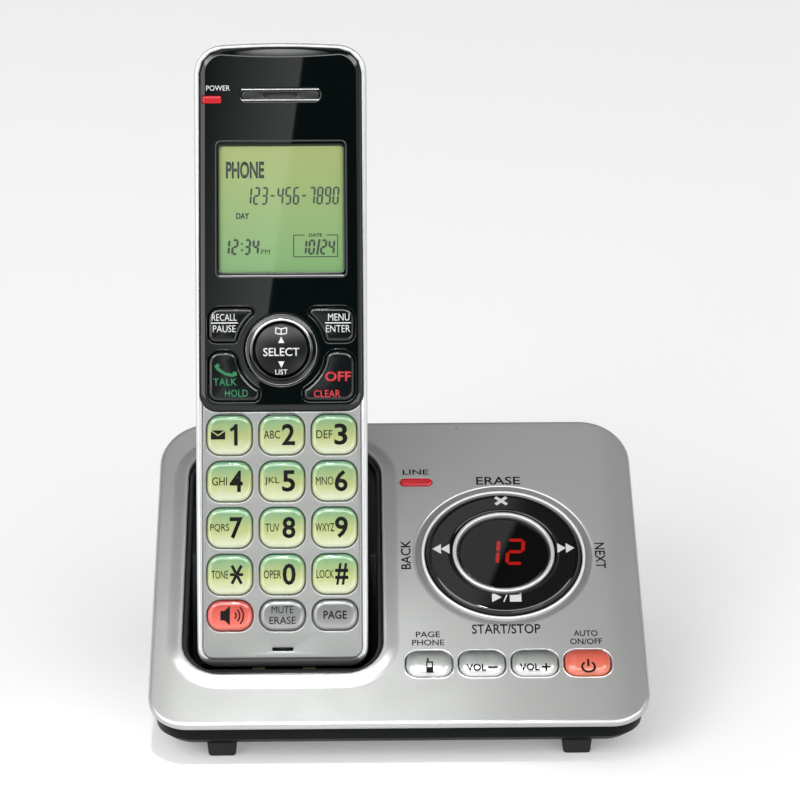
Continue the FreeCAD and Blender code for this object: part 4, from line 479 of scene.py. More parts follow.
piece(
    "dial_rocker", ring(*DIAL, rocker_profile), PANEL, rocker_gloss, "dial_ring", "ring_plastic",
    "dial_rocker_ring",
)
satin_trim = finish(
    "satin_trim", (0.62, 0.63, 0.63), 0.36, speckle=0.05, grain=3000, relief=0.01, metallic=0.4,
)
trim_profile = [
    (14.35, 0.25), (14.35, 1.0), (14.28, 1.2), (14.1, 1.32), (13.8, 1.35), (13.5, 1.32), (13.32, 1.2),
    (13.25, 1.0), (13.25, 0.25),
]
piece(
    "counter_trim", ring(*DIAL, trim_profile), PANEL, satin_trim, "base", "bright_trim",
    "display_trim_ring",
)

# The counter's two red digits glow behind a smoked window, which is glued into the hub. The
# display block itself is a dark resin casting on the circuit board.
black_hub = finish("black_hub", (0.01, 0.01, 0.01), 0.35, speckle=0.2, relief=0.04)
hub_profile = [(13.85, 0.25), (13.85, -8.5), (12.65, -8.5), (12.65, 0.25)]
piece("counter_hub", ring(*DIAL, hub_profile), PANEL, black_hub, "base", "black_plastic", "display_hub")
smoked_window = finish("smoked_window", (0.05, 0.03, 0.03), 0.012, speckle=0.1, grain=600, relief=0.0)
tuned(smoked_window, {"Transmission Weight": 1})
window_edge = [
    (12.1, 0.25), (12.3, 0.24), (12.45, 0.18), (12.54, 0.05), (12.55, -0.1), (12.55, -0.95),
    (12, -0.95),
]
piece(
    "counter_window", moulding(circle_edge(*DIAL, window_edge)), PANEL, smoked_window, "base",
    "smoked_window", "display_window",
)
display_resin = finish("display_resin", (0.012, 0.006, 0.006), 0.5, speckle=0.2, relief=0.03)
rounded("counter_block", "led_display", 0.2, display_resin, "base", "display_plastic")


def prisms(shapes, low, high, cuts=0, drape=None):
    """Thin closed prisms from flat shapes, laid on a domed face where a drape is given."""
    mesh = bmesh.new()
    for points in shapes:
        face = mesh.faces.new([mesh.verts.new((p[0], p[1], low)) for p in points])
        grown = bmesh.ops.extrude_face_region(mesh, geom=[face])["geom"]
        for vertex in [g for g in grown if isinstance(g, bmesh.types.BMVert)]:
            vertex.co.z = high
    if cuts:
        bmesh.ops.triangulate(mesh, faces=mesh.faces[:])
        bmesh.ops.subdivide_edges(mesh, edges=mesh.edges[:], cuts=cuts, use_grid_fill=True)
    if drape:
        for vertex in mesh.verts:
            vertex.co.z += drape(vertex.co.x, vertex.co.y)
    bmesh.ops.recalc_face_normals(mesh, faces=mesh.faces[:])
    return as_mesh(mesh)


def digit_bars(x, y, width, height, bar, lit, slant=0.0, gap=0.12):
    """Shapes of the lit bars of a seven-bar digit, from a (top) to g (middle)."""
    left, right = x - width / 2, x + width / 2
    half = bar / 2
    tall = height / 2
    bars = []
    for letter, level in (("a", tall - half), ("g", 0), ("d", half - tall)):
        if letter in lit:
            start, stop = left + half + gap, right - half - gap
            bars.append([
                (start, y + level), (start + half, y + level - half), (stop - half, y + level - half),
                (stop, y + level), (stop - half, y + level + half), (start + half, y + level + half),
            ])
    for letter, middle, low, high in (
        ("f", left + half, 0, tall - half), ("b", right - half, 0, tall - half),
        ("e", left + half, half - tall, 0), ("c", right - half, half - tall, 0),
    ):
        if letter in lit:
            start, stop = y + low + gap, y + high - gap
            bars.append([
                (middle, start), (middle + half, start + half), (middle + half, stop - half),
                (middle, stop), (middle - half, stop - half), (middle - half, start + half),
            ])
    return [[(px + (py - y) * slant, py) for px, py in points] for points in bars]


DIGITS = {
    "0": "abcdef", "1": "bc", "2": "abged", "3": "abgcd", "4": "fgbc", "5": "afgcd", "6": "afgedc",
    "7": "abc", "8": "abcdefg", "9": "abcdfg", "-": "g",
}
counter_red = finish("counter_red", (0.8, 0.02, 0.02), 0.5, speckle=0.08, grain=1500, relief=0.0)
tuned(counter_red, {"Emission Color": (1, 0.03, 0.02, 1), "Emission Strength": 9})
counter_bars = digit_bars(26.6, 59.6, 4.9, 9.4, 1.05, DIGITS["1"], 0.09)
counter_bars += digit_bars(33.4, 59.6, 5.3, 9.4, 1.05, DIGITS["2"], 0.09)
piece(
    "counter_digits", prisms(counter_bars, -1.06, -0.99), PANEL, counter_red, "base", "display_plastic",
)

# The control ring's symbols are printed in light grey on its crown.
grey_ink = finish("grey_ink", (0.62, 0.63, 0.63), 0.45, speckle=0.06)


def crown_level(profile, x, y):
    """How high a turned crown stands at a distance from its middle."""

    def level(px, py):
        away = math.hypot(px - x, py - y)
        for (near, high), (far, low) in zip(profile[1:], profile):
            if near <= away <= far:
                return high + (low - high) * (away - near) / (far - near)
        return profile[0][1]

    return level


def arrow(x, y, width, height):
    """A triangle pointing to the side of its width's sign."""
    return [(x - width / 2, y - height / 2), (x + width / 2, y), (x - width / 2, y + height / 2)]


def strip(x0, y0, x1, y1, width):
    """A straight bar between two points."""
    dx, dy = Vector((y0 - y1, x1 - x0)).normalized() * (width / 2)
    return [(x0 - dx, y0 - dy), (x1 - dx, y1 - dy), (x1 + dx, y1 + dy), (x0 + dx, y0 + dy)]


dial_signs = [
    strip(28.4, 75.75, 31.6, 78.45, 0.95),
    strip(28.4, 78.45, 29.65, 77.4, 0.95),
    strip(30.35, 76.8, 31.6, 75.75, 0.95),
    arrow(11.2, 59.6, -2.4, 3.5),
    arrow(13.6, 59.6, -2.4, 3.5),
    arrow(46.4, 59.6, 2.4, 3.5),
    arrow(48.8, 59.6, 2.4, 3.5),
    arrow(27.5, 42.2, 2.7, 3.4),
    strip(29.4, 40.6, 30.6, 43.8, 0.35),
    [(31.1, 40.6), (34.3, 40.6), (34.3, 43.7), (31.1, 43.7)],
]
piece(
    "dial_symbols", prisms(dial_signs, -0.02, 0.035, 3, crown_level(rocker_profile[1:-1], *DIAL)),
    PANEL, grey_ink, "dial_ring", "ring_plastic",
)

# ---------------------------------------------------------------- base keys
# Four pillow-shaped keys press down through the cover: three in silver paint, and the
# answering key in orange red. A thin raised bead runs round each opening; its pale colour is a
# painted highlight.


def graded(material, low, middle, high, sway=0.0):
    """Tint a material from a face's foot to its top, by the UV map, with a sway of faint clouds."""
    tree = material.node_tree
    axes = tree.nodes.new("ShaderNodeSeparateXYZ")
    tree.links.new(tree.nodes.new("ShaderNodeUVMap").outputs["UV"], axes.inputs["Vector"])
    climb = axes.outputs["Y"]
    if sway:
        spot = tree.nodes.new("ShaderNodeTexCoord").outputs["Object"]
        cloud = fed(tree, "TexNoise", None, spot, None, 260)
        climb = fed(
            tree, "Math", "ADD", climb, fed(tree, "MapRange", None, cloud, None, None, -sway, sway),
        )
    ramp = tree.nodes.new("ShaderNodeValToRGB")
    ramp.color_ramp.elements[0].color = (*low, 1)
    ramp.color_ramp.elements[1].color = (*high, 1)
    ramp.color_ramp.elements.new(0.45).color = (*middle, 1)
    tree.links.new(climb, ramp.inputs["Fac"])
    tree.links.new(ramp.outputs["Color"], tree.nodes["Principled BSDF"].inputs["Base Color"])
    return material


def key_paint_with_painted_light(name, low, middle, high, roughness, metallic=0.0, coat=0.0):
    """Paint with painted light and shade, whose tone changes up a face's own height."""
    material = finish(name, middle, roughness, speckle=0.04, grain=3000, relief=0.01, metallic=metallic)
    tuned(material, {"Coat Weight": coat, "Coat Roughness": 0.08})
    return graded(material, low, middle, high, 0.12)


def face_mapped(data, corners):
    """Give a mesh a UV map that runs over the box of an outline."""
    wide = [c[0] for c in corners]
    tall = [c[1] for c in corners]
    face_map = data.uv_layers.new(name="face")
    for loop in data.loops:
        spot = data.vertices[loop.vertex_index].co
        face_map.data[loop.index].uv = (
            (spot.x - min(wide)) / (max(wide) - min(wide)),
            (spot.y - min(tall)) / (max(tall) - min(tall)),
        )
    return data


def key_cap(corners, profile, crown=None, steps=6):
    """A key from its plan and edge profile, with a UV map over its face."""
    return face_mapped(moulding(edge_of(corners, profile, steps), shape=crown), corners)


def words(lines, level, thickness=0.03, weight=0.0):
    """Thin printed words, each given as (text, x, y, width, height, turn in degrees)."""
    mesh = bmesh.new()
    for text, x, y, width, height, turn in lines:
        curve = bpy.data.curves.new("writing", "FONT")
        curve.body = text
        curve.size = 10
        curve.resolution_u = 3
        curve.offset = 0 if "M" in text else weight
        flat = evaluated(placed("writing", curve))
        across = [v.co.x for v in flat.vertices]
        along = [v.co.y for v in flat.vertices]
        wide, tall = max(across) - min(across), max(along) - min(along)
        fitted = Matrix.Diagonal((width / wide, height / tall, 1, 1))
        middle = Matrix.Translation((-(max(across) + min(across)) / 2, -(max(along) + min(along)) / 2, 0))
        turned = Matrix.Rotation(math.radians(turn), 4, "Z")
        flat.transform(Matrix.Translation((x, y, level)) @ turned @ fitted @ middle)
        before = set(mesh.faces)
        mesh.from_mesh(flat)
        bpy.data.meshes.remove(flat)
        fresh = [face for face in mesh.faces if face not in before]
        grown = bmesh.ops.extrude_face_region(mesh, geom=fresh)["geom"]
        for vertex in [g for g in grown if isinstance(g, bmesh.types.BMVert)]:
            vertex.co.z += thickness
    bmesh.ops.recalc_face_normals(mesh, faces=mesh.faces[:])
    return as_mesh(mesh)


def joined(*parts):
    """Several meshes as one."""
    mesh = bmesh.new()
    for part in parts:
        mesh.from_mesh(part)
    return as_mesh(mesh)


# Painted light: the base keys are pale at their foot and dark at their top.
silver_key = key_paint_with_painted_light(
    "silver_key", (0.8, 0.81, 0.79), (0.4, 0.42, 0.4), (0.05, 0.055, 0.055), 0.24, metallic=0.3,
)
orange_key = key_paint_with_painted_light(
    "orange_key", (0.86, 0.25, 0.16), (0.74, 0.14, 0.09), (0.4, 0.06, 0.045), 0.22, coat=0.5,
)
dark_ink = finish("dark_ink", (0.004, 0.004, 0.004), 0.7, speckle=0.2)
tuned(dark_ink, {"Specular IOR Level": 0.15})
pillow = [
    (3.0, 1.7), (2.6, 1.68), (2.0, 1.62), (1.4, 1.52), (0.9, 1.34), (0.5, 1.08), (0.22, 0.76),
    (0.06, 0.4), (0, 0.1), (0, -2.3), (-0.5, -2.3), (-0.5, -3.3), (0.5, -3.3),
]


def plunger_key(x):
    """A base key's cap with the plunger that reaches down to its rubber dome."""
    cap = key_cap(box_corners(x, BASE_KEY_ROW, *BASE_KEY), pillow)
    foot = [(0.3, -3.2), (0, -3.2), (0, -4.3), (0.3, -4.3)]
    plunger = key_cap(box_corners(x, BASE_KEY_ROW, 4.4, 4.4, 0.4), foot)
    return shaded(joined(cap, plunger), 40)


for x, (key_name, paint, slot_name) in zip(base_keys, (
    ("find_handset_key", silver_key, "grey_key"), ("volume_down_key", silver_key, "grey_key"),
    ("volume_up_key", silver_key, "grey_key"), ("answer_on_off_key", orange_key, "orange_key"),
)):
    piece("cap_of_" + key_name, plunger_key(x), PANEL, paint, key_name + "_cap", slot_name, key_name)

BASE_KEY_PRINT = (1.64, 1.72)
handset_sign = [
    [(7.35, 15.9), (9.25, 15.9), (9.25, 17.8), (7.35, 17.8)],
    [(7.35, 19.2), (9.25, 19.2), (9.25, 19.7), (7.35, 19.7)],
    [(7.35, 17.8), (7.7, 17.8), (7.7, 19.2), (7.35, 19.2)],
    [(8.9, 17.8), (9.25, 17.8), (9.25, 19.2), (8.9, 19.2)],
    [(7.55, 19.7), (8.1, 19.7), (8.1, 20.8), (7.55, 20.8)],
]


def arc_bars(x, y, near, far, start, turn, steps):
    """Short bars that follow an arc between two radii, over a turn in degrees."""
    bars = []
    for step in range(steps):
        first, last = [math.radians(start + (turn / steps) * (step + end)) for end in (0, 1)]
        corners = ((near, first), (far, first), (far, last), (near, last))
        bars.append([(x + r * math.cos(angle), y + r * math.sin(angle)) for r, angle in corners])
    return bars


power_sign = [strip(51.5, 17.7, 51.5, 20.1, 0.6), *arc_bars(51.5, 17.5, 1.45, 2.0, 125, 290, 22)]
piece(
    "mark_of_find_key", prisms(handset_sign, *BASE_KEY_PRINT), PANEL, dark_ink, "find_handset_key_cap",
    "grey_key",
)
for key_name, spot, upright in (("volume_down_key", 22.6, False), ("volume_up_key", 37.1, True)):
    mark = [words([("VOL", spot - 1.6, 17.6, 5.4, 2.4, 0)], 1.66, 0.05, 0.2)]
    bars = [strip(spot + 1.6, 17.6, spot + 4.2, 17.6, 0.5)]
    if upright:
        bars = [strip(spot + 1.7, 17.6, spot + 4.1, 17.6, 0.5)]
        for low, high in ((17.85, 18.8), (17.35, 16.4)):
            bars.append(strip(spot + 2.9, low, spot + 2.9, high, 0.5))
    mark += [prisms(bars, 1.64, 1.71)]
    piece("mark_of_" + key_name, joined(*mark), PANEL, dark_ink, key_name + "_cap", "grey_key")
piece(
    "mark_of_answer_key", prisms(power_sign, *BASE_KEY_PRINT), PANEL, dark_ink, "answer_on_off_key_cap",
    "orange_key",
)


def grow(tree, values):
    """Run a Geometry Nodes tree and keep its result as a plain mesh."""
    carrier = placed("carrier", bpy.data.meshes.new("carrier"))
    modifier = carrier.modifiers.new("tree", "NODES")
    modifier.node_group = tree
    for item in tree.interface.items_tree:
        if item.item_type == "SOCKET" and item.in_out == "INPUT" and item.name in values:
            modifier[item.identifier] = values[item.name]
    return shaded(evaluated(carrier), 50)


bead_tree = bpy.data.node_groups.new("row_of_beads", "GeometryNodeTree")
for label, kind in (
    ("Count", "Int"), ("First", "Vector"), ("Pitch", "Vector"), ("Width", "Float"), ("Height", "Float"),
    ("Corner", "Float"), ("Bead", "Float"), ("Finish", "Material"),
):
    bead_tree.interface.new_socket(name=label, in_out="INPUT", socket_type="NodeSocket" + kind)
bead_tree.interface.new_socket(name="Geometry", in_out="OUTPUT", socket_type="NodeSocketGeometry")
bead_in, bead_out = bead_tree.nodes.new("NodeGroupInput"), bead_tree.nodes.new("NodeGroupOutput")
bead_row, bead_plan, bead_round, bead_section, bead_sweep, bead_place, bead_real, bead_paint = [
    bead_tree.nodes.new("GeometryNode" + kind) for kind in (
        "MeshLine", "CurvePrimitiveQuadrilateral", "FilletCurve", "CurvePrimitiveCircle", "CurveToMesh",
        "InstanceOnPoints", "RealizeInstances", "SetMaterial",
    )
]
bead_round.mode = "POLY"
bead_round.inputs["Count"].default_value = 8
bead_section.inputs["Resolution"].default_value = 10
for source, socket, target, entry in (
    (bead_in, "Count", bead_row, "Count"), (bead_in, "First", bead_row, "Start Location"),
    (bead_in, "Pitch", bead_row, "Offset"), (bead_in, "Width", bead_plan, "Width"),
    (bead_in, "Height", bead_plan, "Height"), (bead_plan, "Curve", bead_round, "Curve"),
    (bead_in, "Corner", bead_round, "Radius"), (bead_in, "Bead", bead_section, "Radius"),
    (bead_round, "Curve", bead_sweep, "Curve"), (bead_section, "Curve", bead_sweep, "Profile Curve"),
    (bead_row, "Mesh", bead_place, "Points"), (bead_sweep, "Mesh", bead_place, "Instance"),
    (bead_place, "Instances", bead_real, "Geometry"), (bead_real, "Geometry", bead_paint, "Geometry"),
    (bead_in, "Finish", bead_paint, "Material"), (bead_paint, "Geometry", bead_out, "Geometry"),
):
    bead_tree.links.new(source.outputs[socket], target.inputs[entry])
# Painted highlight: the beads' pale colour stands for light caught along the edges.
painted_highlight_bead = finish(
    "painted_highlight_bead", (0.78, 0.79, 0.79), 0.25, speckle=0.04, grain=3000, relief=0.01, metallic=0.6,
)
piece("key_beads", grow(bead_tree, {
    "Count": 4, "First": (base_keys[0], BASE_KEY_ROW, 0.02), "Pitch": (BASE_KEY_PITCH, 0, 0),
    "Width": 13.7, "Height": 9.7, "Corner": 3.9, "Bead": 0.2, "Finish": painted_highlight_bead,
}), PANEL, painted_highlight_bead, "base", "silver_plastic")

# ---------------------------------------------------------------- in-use light and lettering
# A clear red light pipe glows while the line is in use. The words are pad printed on the
# silver paint.
red_lens = finish("red_lens", (0.55, 0.01, 0.02), 0.18, speckle=0.08, grain=900, relief=0.01)
tuned(red_lens, {"Emission Color": (0.75, 0.02, 0.03, 1), "Emission Strength": 0.12})
lens_edge = [
    (1.0, 0.4), (0.6, 0.38), (0.35, 0.32), (0.15, 0.2), (0.04, 0.05), (0, -0.15), (0, -8.5),
    (0.4, -8.5),
]
piece(
    "line_light", moulding(edge_of(box_corners(*LIGHT), lens_edge)), PANEL, red_lens, "base",
    "light_lens", "in_use_light",
)
base_words = [
    ("ERASE", 29.5, 85.5, 12.6, 3.0, 0), ("START/STOP", 29.7, 31.9, 18.9, 3.3, 0),
    ("BACK", 2.5, 58.4, 10.4, 2.8, 90), ("NEXT", 57.2, 57.6, 9.2, 2.8, -90),
    ("PAGE", 8.1, 30.2, 6.6, 2.0, 0), ("PHONE", 8.1, 27.4, 8.8, 2.0, 0),
    ("AUTO", 51.5, 30.2, 6.6, 2.0, 0), ("ON/OFF", 51.5, 27.4, 8.8, 2.0, 0),
    ("LINE", 5.8, 89.0, 7.4, 1.9, 0),
]
piece("base_lettering", words(base_words, -0.01, 0.03, 0.12), PANEL, dark_ink, "base", "silver_plastic")

# ---------------------------------------------------------------- base inside and back
# The sockets and the cradle's contacts get soft edges. The loudspeaker, the screws, the rubber
# mat, the circuit board and the ring's carrier stay as they are built, in their own finishes.


def dress(node, finish_used):
    """Give a CAD node its finish."""
    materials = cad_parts[node].data.materials
    materials.clear()
    materials.append(finish_used)


jack_black = finish("jack_black", (0.016, 0.016, 0.018), 0.5, speckle=0.2, relief=0.05)
for node in ("line_jack", "power_jack"):
    rounded(node.replace("jack", "socket_body"), node, 0.2, jack_black, "base", "jack_plastic", 2)
contact_gold = finish("contact_gold", (0.75, 0.6, 0.34), 0.25, speckle=0.08, grain=3000, metallic=1)
rounded("cradle_contacts", "cradle_charge_contacts", 0.1, contact_gold, "base", "contact_metal", 2)
speaker_steel = finish(
    "speaker_steel", (0.3, 0.3, 0.31), 0.4, speckle=0.15, grain=2000, relief=0.05, metallic=0.9,
)
dress("base_loudspeaker", speaker_steel)
screw_steel = finish(
    "screw_steel", (0.45, 0.45, 0.46), 0.32, speckle=0.1, grain=4000, relief=0.03, metallic=1,
)
dress("base_case_screws", screw_steel)
mat_rubber = finish("mat_rubber", (0.42, 0.44, 0.46), 0.7, speckle=0.08, grain=1500, relief=0.08)
dress("base_key_mat", mat_rubber)
board_green = finish("board_green", (0.02, 0.12, 0.05), 0.4, speckle=0.3, grain=900, relief=0.05)
dress("base_circuit_board", board_green)
carrier_black = finish("carrier_black", (0.015, 0.015, 0.015), 0.45, speckle=0.2, relief=0.04)
dress("dial_rocker_carrier", carrier_black)

# ---------------------------------------------------------------- handset cases
# The handset's front case is painted ABS like the cover, and its back case and battery door
# are a duller silver. Two screws under the battery door hold the cases together.
HANDSET = (
    Matrix.Translation((-0.03175, -0.040593, 0.019579))
    @ Matrix.Rotation(math.radians(62), 4, "X")
    @ Matrix.Scale(0.001, 4)
)
handset_corners = [
    (-23.35, 0, 5), (23.35, 0, 5), (24.15, 172.3, 8.2), (0, 173.7, 240), (-24.15, 172.3, 8.2),
]
handset_silver = sprayed("handset_silver", (0.64, 0.65, 0.65), 0.32, 0.4)
front_edge = [
    (1.0, 0), (0.8, -0.02), (0.55, -0.1), (0.32, -0.26), (0.14, -0.5), (0.04, -0.8), (0, -1.15),
    (0, -10.25), (0.12, -10.42), (0.35, -10.5), (1.8, -10.5),
]
plate_corners = [
    (-22.6, 70.1, 5), (22.6, 70.1, 5), (22.6, 171, 6.9), (0, 172.4, 240), (-22.6, 171, 6.9),
]


def under_the_plate(radius, side, start, stop, steps):
    """Corners along an arc about the middle of the face plate's lower corner, in degrees."""
    turns = [math.radians(start + (stop - start) * step / steps) for step in range(steps + 1)]
    return [(side * (17.6 + radius * math.cos(t)), 75.1 + radius * math.sin(t), 0.1) for t in turns]


seat_corners = [
    (-22, 1.85, 3.2), (22, 1.85, 3.2), *under_the_plate(5.1, 1, -30.4, 0, 3), (22.7, 171.1, 6.9),
    (0, 172.5, 240),
]
seat_corners += [(-22.7, 171.1, 6.9), *under_the_plate(5.1, -1, 0, -30.4, 3)]
seat_edge = [(-0.2, 0), (-0.1, -0.03), (-0.03, -0.1), (0, -0.25), (0, -1.6), (0.4, -1.6)]


def chin(spot):
    """The case and its keypad panel roll away at the foot of the handset."""
    past = max(2.7 - spot.y, 0)
    return Vector((spot.x, spot.y, spot.z - past * past * max(1 + spot.z / 10, 0)))


back_silver = sprayed("back_silver", (0.52, 0.53, 0.53), 0.34, 0.2)
front_case_mesh = moulding(
    edge_of(handset_corners, front_edge), [edge_of(seat_corners, seat_edge, 3)], chin,
)
piece(
    "front_case", front_case_mesh, HANDSET, handset_silver, "handset", "silver_plastic",
    "handset_front_case",
)
rounded("back_case", "handset_back_case", 0.6, back_silver, "handset", "silver_plastic")
door_silver = sprayed("door_silver", (0.5, 0.51, 0.51), 0.34, 0.2)
rounded("door_of_battery", "battery_door", 0.3, door_silver, "battery_door", "battery_door_plastic")

# ---------------------------------------------------------------- keypad panel
# A thin satin grey panel is glued into the front case. Its openings stand a little clear of
# the keys, and a slot at its foot lets sound in to the microphone.
keypad_silver = sprayed("keypad_silver", (0.35, 0.36, 0.35), 0.34, 0.4)
NUMBER_KEY = (12.2, 10.8, 3.6)
FUNCTION_KEY = (12.2, 8.1, 3.6)
columns = [column * 14.42 for column in (-1, 0, 1)]
number_spots = [(x, 63.5 - row * 12.81) for row in range(4) for x in columns]
function_spots = [(x, 13.9) for x in columns]
well_edge = [
    (-0.75, 0), (-0.6, -0.01), (-0.45, -0.08), (-0.33, -0.25), (-0.3, -0.45), (-0.3, -1.6),
    (-0.4, -1.6),
]
slot_edge = [(-0.35, 0), (-0.2, -0.05), (-0.05, -0.2), (0, -0.4), (0, -1.6), (-0.1, -1.6)]
panel_corners = [(-21.7, 2.0, 3.0), (21.7, 2.0, 3.0), *under_the_plate(5.15, 1, -37.2, -90, 5)]
panel_corners += under_the_plate(5.15, -1, -90, -37.2, 5)
panel_edge = [(0.5, 0), (0.35, 0), (0.2, -0.03), (0.07, -0.12), (0, -0.3), (0, -1.6), (0.3, -1.6)]
panel_holes = [edge_of(box_corners(x, y, *NUMBER_KEY), well_edge, 6) for x, y in number_spots]
panel_holes += [edge_of(box_corners(x, y, *FUNCTION_KEY), well_edge, 6) for x, y in function_spots]
panel_holes += [edge_of(box_corners(0, 4.6, 5.8, 0.9, 0.44), slot_edge, 4)]
panel_cuts = [((0, 2.15 + step * 0.15, 0), (0, 1, 0)) for step in range(5)]
piece(
    "keypad_panel", moulding(edge_of(panel_corners, panel_edge, 3), panel_holes, chin, panel_cuts),
    HANDSET, keypad_silver, "handset", "keypad_plastic", "handset_keypad_panel",
)

# ---------------------------------------------------------------- face plate and screen
# The face plate is a gloss black moulding with a bevelled edge, glued over the screen and
# the receiver. The screen is a reflecting liquid crystal under a clear lens.
plate_gloss = finish("plate_gloss", (0.002, 0.004, 0.004), 0.012, speckle=0.1, grain=900, relief=0)
plate_edge = [
    (1.8, 0.5), (1.68, 0.5), (1.5, 0.47), (1.3, 0.41), (1.0, 0.3), (0.65, 0.15), (0.35, -0.02),
    (0.12, -0.2), (0, -0.45), (0, -1.6), (0.4, -1.6),
]
SCREEN = (0, 126.25)
SCREEN_OPENING = (0.1, 126.35)
screen_hole_corners = box_corners(*SCREEN_OPENING, 34.6, 35.7, 1.2)
screen_hole = [
    (-0.5, 0.5), (-0.3, 0.5), (-0.2, 0.48), (-0.08, 0.42), (0, 0.25), (0, -1.0), (0, -1.6),
    (-0.3, -1.6),
]
EAR_SLOT = (0, 158.3)
ear_corners = box_corners(*EAR_SLOT, 22, 3.2, 1.55)
ear_hole = [(-0.6, 0.5), (-0.45, 0.5), (-0.25, 0.46), (-0.08, 0.33), (0, 0.15), (0, -1.6), (-0.3, -1.6)]
CHARGE_LIGHT = (-19, 157.1)
charge_corners = box_corners(*CHARGE_LIGHT, 5.5, 2.4, 0.3)
NAVIGATION = (0, 87)
RING_CLEARANCE = 12.7


def ring_cut_key(side, near, far, inner, rounds):
    """Plan of a soft key, hollowed along the navigation ring's clearance, with five roundings."""
    away = 1 if far > near else -1
    start = math.asin((near - NAVIGATION[1]) / RING_CLEARANCE)
    stop = math.atan2(away * math.sqrt(RING_CLEARANCE ** 2 - inner ** 2), inner)
    turns = [start + (stop - start) * step / 8 for step in (0, 2, 3, 4, 5, 6, 7, 8)]
    arc_rounds = [rounds[1], *[0.05] * 6, rounds[2]]
    corners = [(side * 20, near, rounds[0])]
    for turn, rounding in zip(turns, arc_rounds):
        across = side * RING_CLEARANCE * math.cos(turn)
        corners.append((across, NAVIGATION[1] + RING_CLEARANCE * math.sin(turn), rounding))
    corners += [(side * inner, far, rounds[3]), (side * 20, far, rounds[4])]
    area = sum(a[0] * b[1] - b[0] * a[1] for a, b in zip(corners[-1:] + corners, corners))
    return corners if area > 0 else corners[::-1]


upper_rounds = (2.0, 0.9, 0.7, 1.4, 3.0)
lower_rounds = (3.0, 2.4, 0.7, 1.5, 2.5)
soft_plans = {
    "redial_key": ring_cut_key(-1, 89.2, 98.65, 7.8, upper_rounds),
    "menu_key": ring_cut_key(1, 89.2, 98.65, 7.8, upper_rounds),
    "talk_key": ring_cut_key(-1, 86.5, 72.9, 6.2, lower_rounds),
    "off_key": ring_cut_key(1, 86.5, 72.9, 6.2, lower_rounds),
}
soft_hole = [
    (-0.75, 0.5), (-0.66, 0.5), (-0.56, 0.57), (-0.45, 0.55), (-0.34, 0.4), (-0.3, 0.2), (-0.3, -1.6),
    (-0.4, -1.6),
]
ring_hole = [
    (10.55, 0.5), (10.35, 0.5), (10.15, 0.46), (10.0, 0.3), (9.95, 0), (9.95, -1.6), (10.1, -1.6),
]
plate_holes = [
    edge_of(screen_hole_corners, screen_hole, 5), edge_of(ear_corners, ear_hole, 6),
    circle_edge(*NAVIGATION, ring_hole, 72),
]
plate_holes += [edge_of(plan, soft_hole, 4) for plan in soft_plans.values()]


def crescent(spot):
    """The plate's top bevel widens towards its middle."""
    wider = max(1 - (spot.x / 17) ** 2, 0) if spot.y > 165 else 0
    if spot.z > 0.35:
        return Vector((spot.x, spot.y - 1.3 * wider, spot.z))
    fall = 0.2 if spot.z > 0.2 else 0.1 if spot.z > 0.1 else 0
    return Vector((spot.x, spot.y, spot.z - fall * wider))


def cut_out(data, tool):
    """A mesh with another mesh taken away from it."""
    body, knife = placed("body", data), placed("knife", tool)
    cut = body.modifiers.new("cut", "BOOLEAN")
    cut.object = knife
    cut.solver = "EXACT"
    result = shaded(evaluated(body), 35)
    bpy.data.objects.remove(knife)
    return result


plate_mesh = moulding(edge_of(plate_corners, plate_edge), plate_holes, crescent)
charge_knife = moulding(edge_of(charge_corners, [(0, 2), (0, -3)], 3))
piece(
    "face_plate", cut_out(plate_mesh, charge_knife), HANDSET, plate_gloss, "handset",
    "gloss_black_plate", "handset_face_plate",
)

# The liquid crystal is yellower at the top and greener at the foot.
screen_green = finish("screen_green", (0.3, 0.45, 0.18), 0.25, speckle=0.02, grain=5000, relief=0.0)
graded(screen_green, (0.2, 0.39, 0.16), (0.28, 0.43, 0.17), (0.38, 0.44, 0.16))
tuned(screen_green, {"Coat Weight": 1, "Coat Roughness": 0.02})
screen_corners = box_corners(*SCREEN, 35.4, 37.9, 1.2)
screen_profile = [
    (0.9, -0.55), (0.65, -0.55), (0.45, -0.6), (0.45, -1.65), (0, -1.75), (0, -4.5), (1, -4.5),
]


def windowed(spot):
    """The screen's front is lower than its block, to fit the plate's opening."""
    if spot.z <= -1.7:
        return spot
    return Vector((spot.x + SCREEN_OPENING[0], SCREEN_OPENING[1] + (spot.y - SCREEN[1]) * 0.96, spot.z))


screen_data = key_cap(screen_corners, screen_profile, windowed, 3)
piece("screen_face", screen_data, HANDSET, screen_green, "handset", "screen_glass", "screen_module")
screen_ink = finish("screen_ink", (0.02, 0.035, 0.025), 0.4, speckle=0.2, relief=0.0)


def number_bars(text, x, y, width, height, pitch, bar):
    """Shapes of a line of seven-bar digits, from its left end."""
    shapes = []
    for letter in text:
        if letter in DIGITS:
            shapes += digit_bars(x + width / 2, y, width, height, bar, DIGITS[letter], 0.08, 0.04)
        if letter == ":":
            for level in (y - height / 5, y + height / 5):
                low, high = level - 0.25, level + 0.25
                shapes.append([(x + 0.3, low), (x + 0.85, low), (x + 0.85, high), (x + 0.3, high)])
        if letter == "/":
            shapes.append(strip(x + 0.2, y - height / 2, x + 0.9, y + height / 2, bar))
        x += pitch * (0.5 if letter in ":/" else 1)
    return shapes


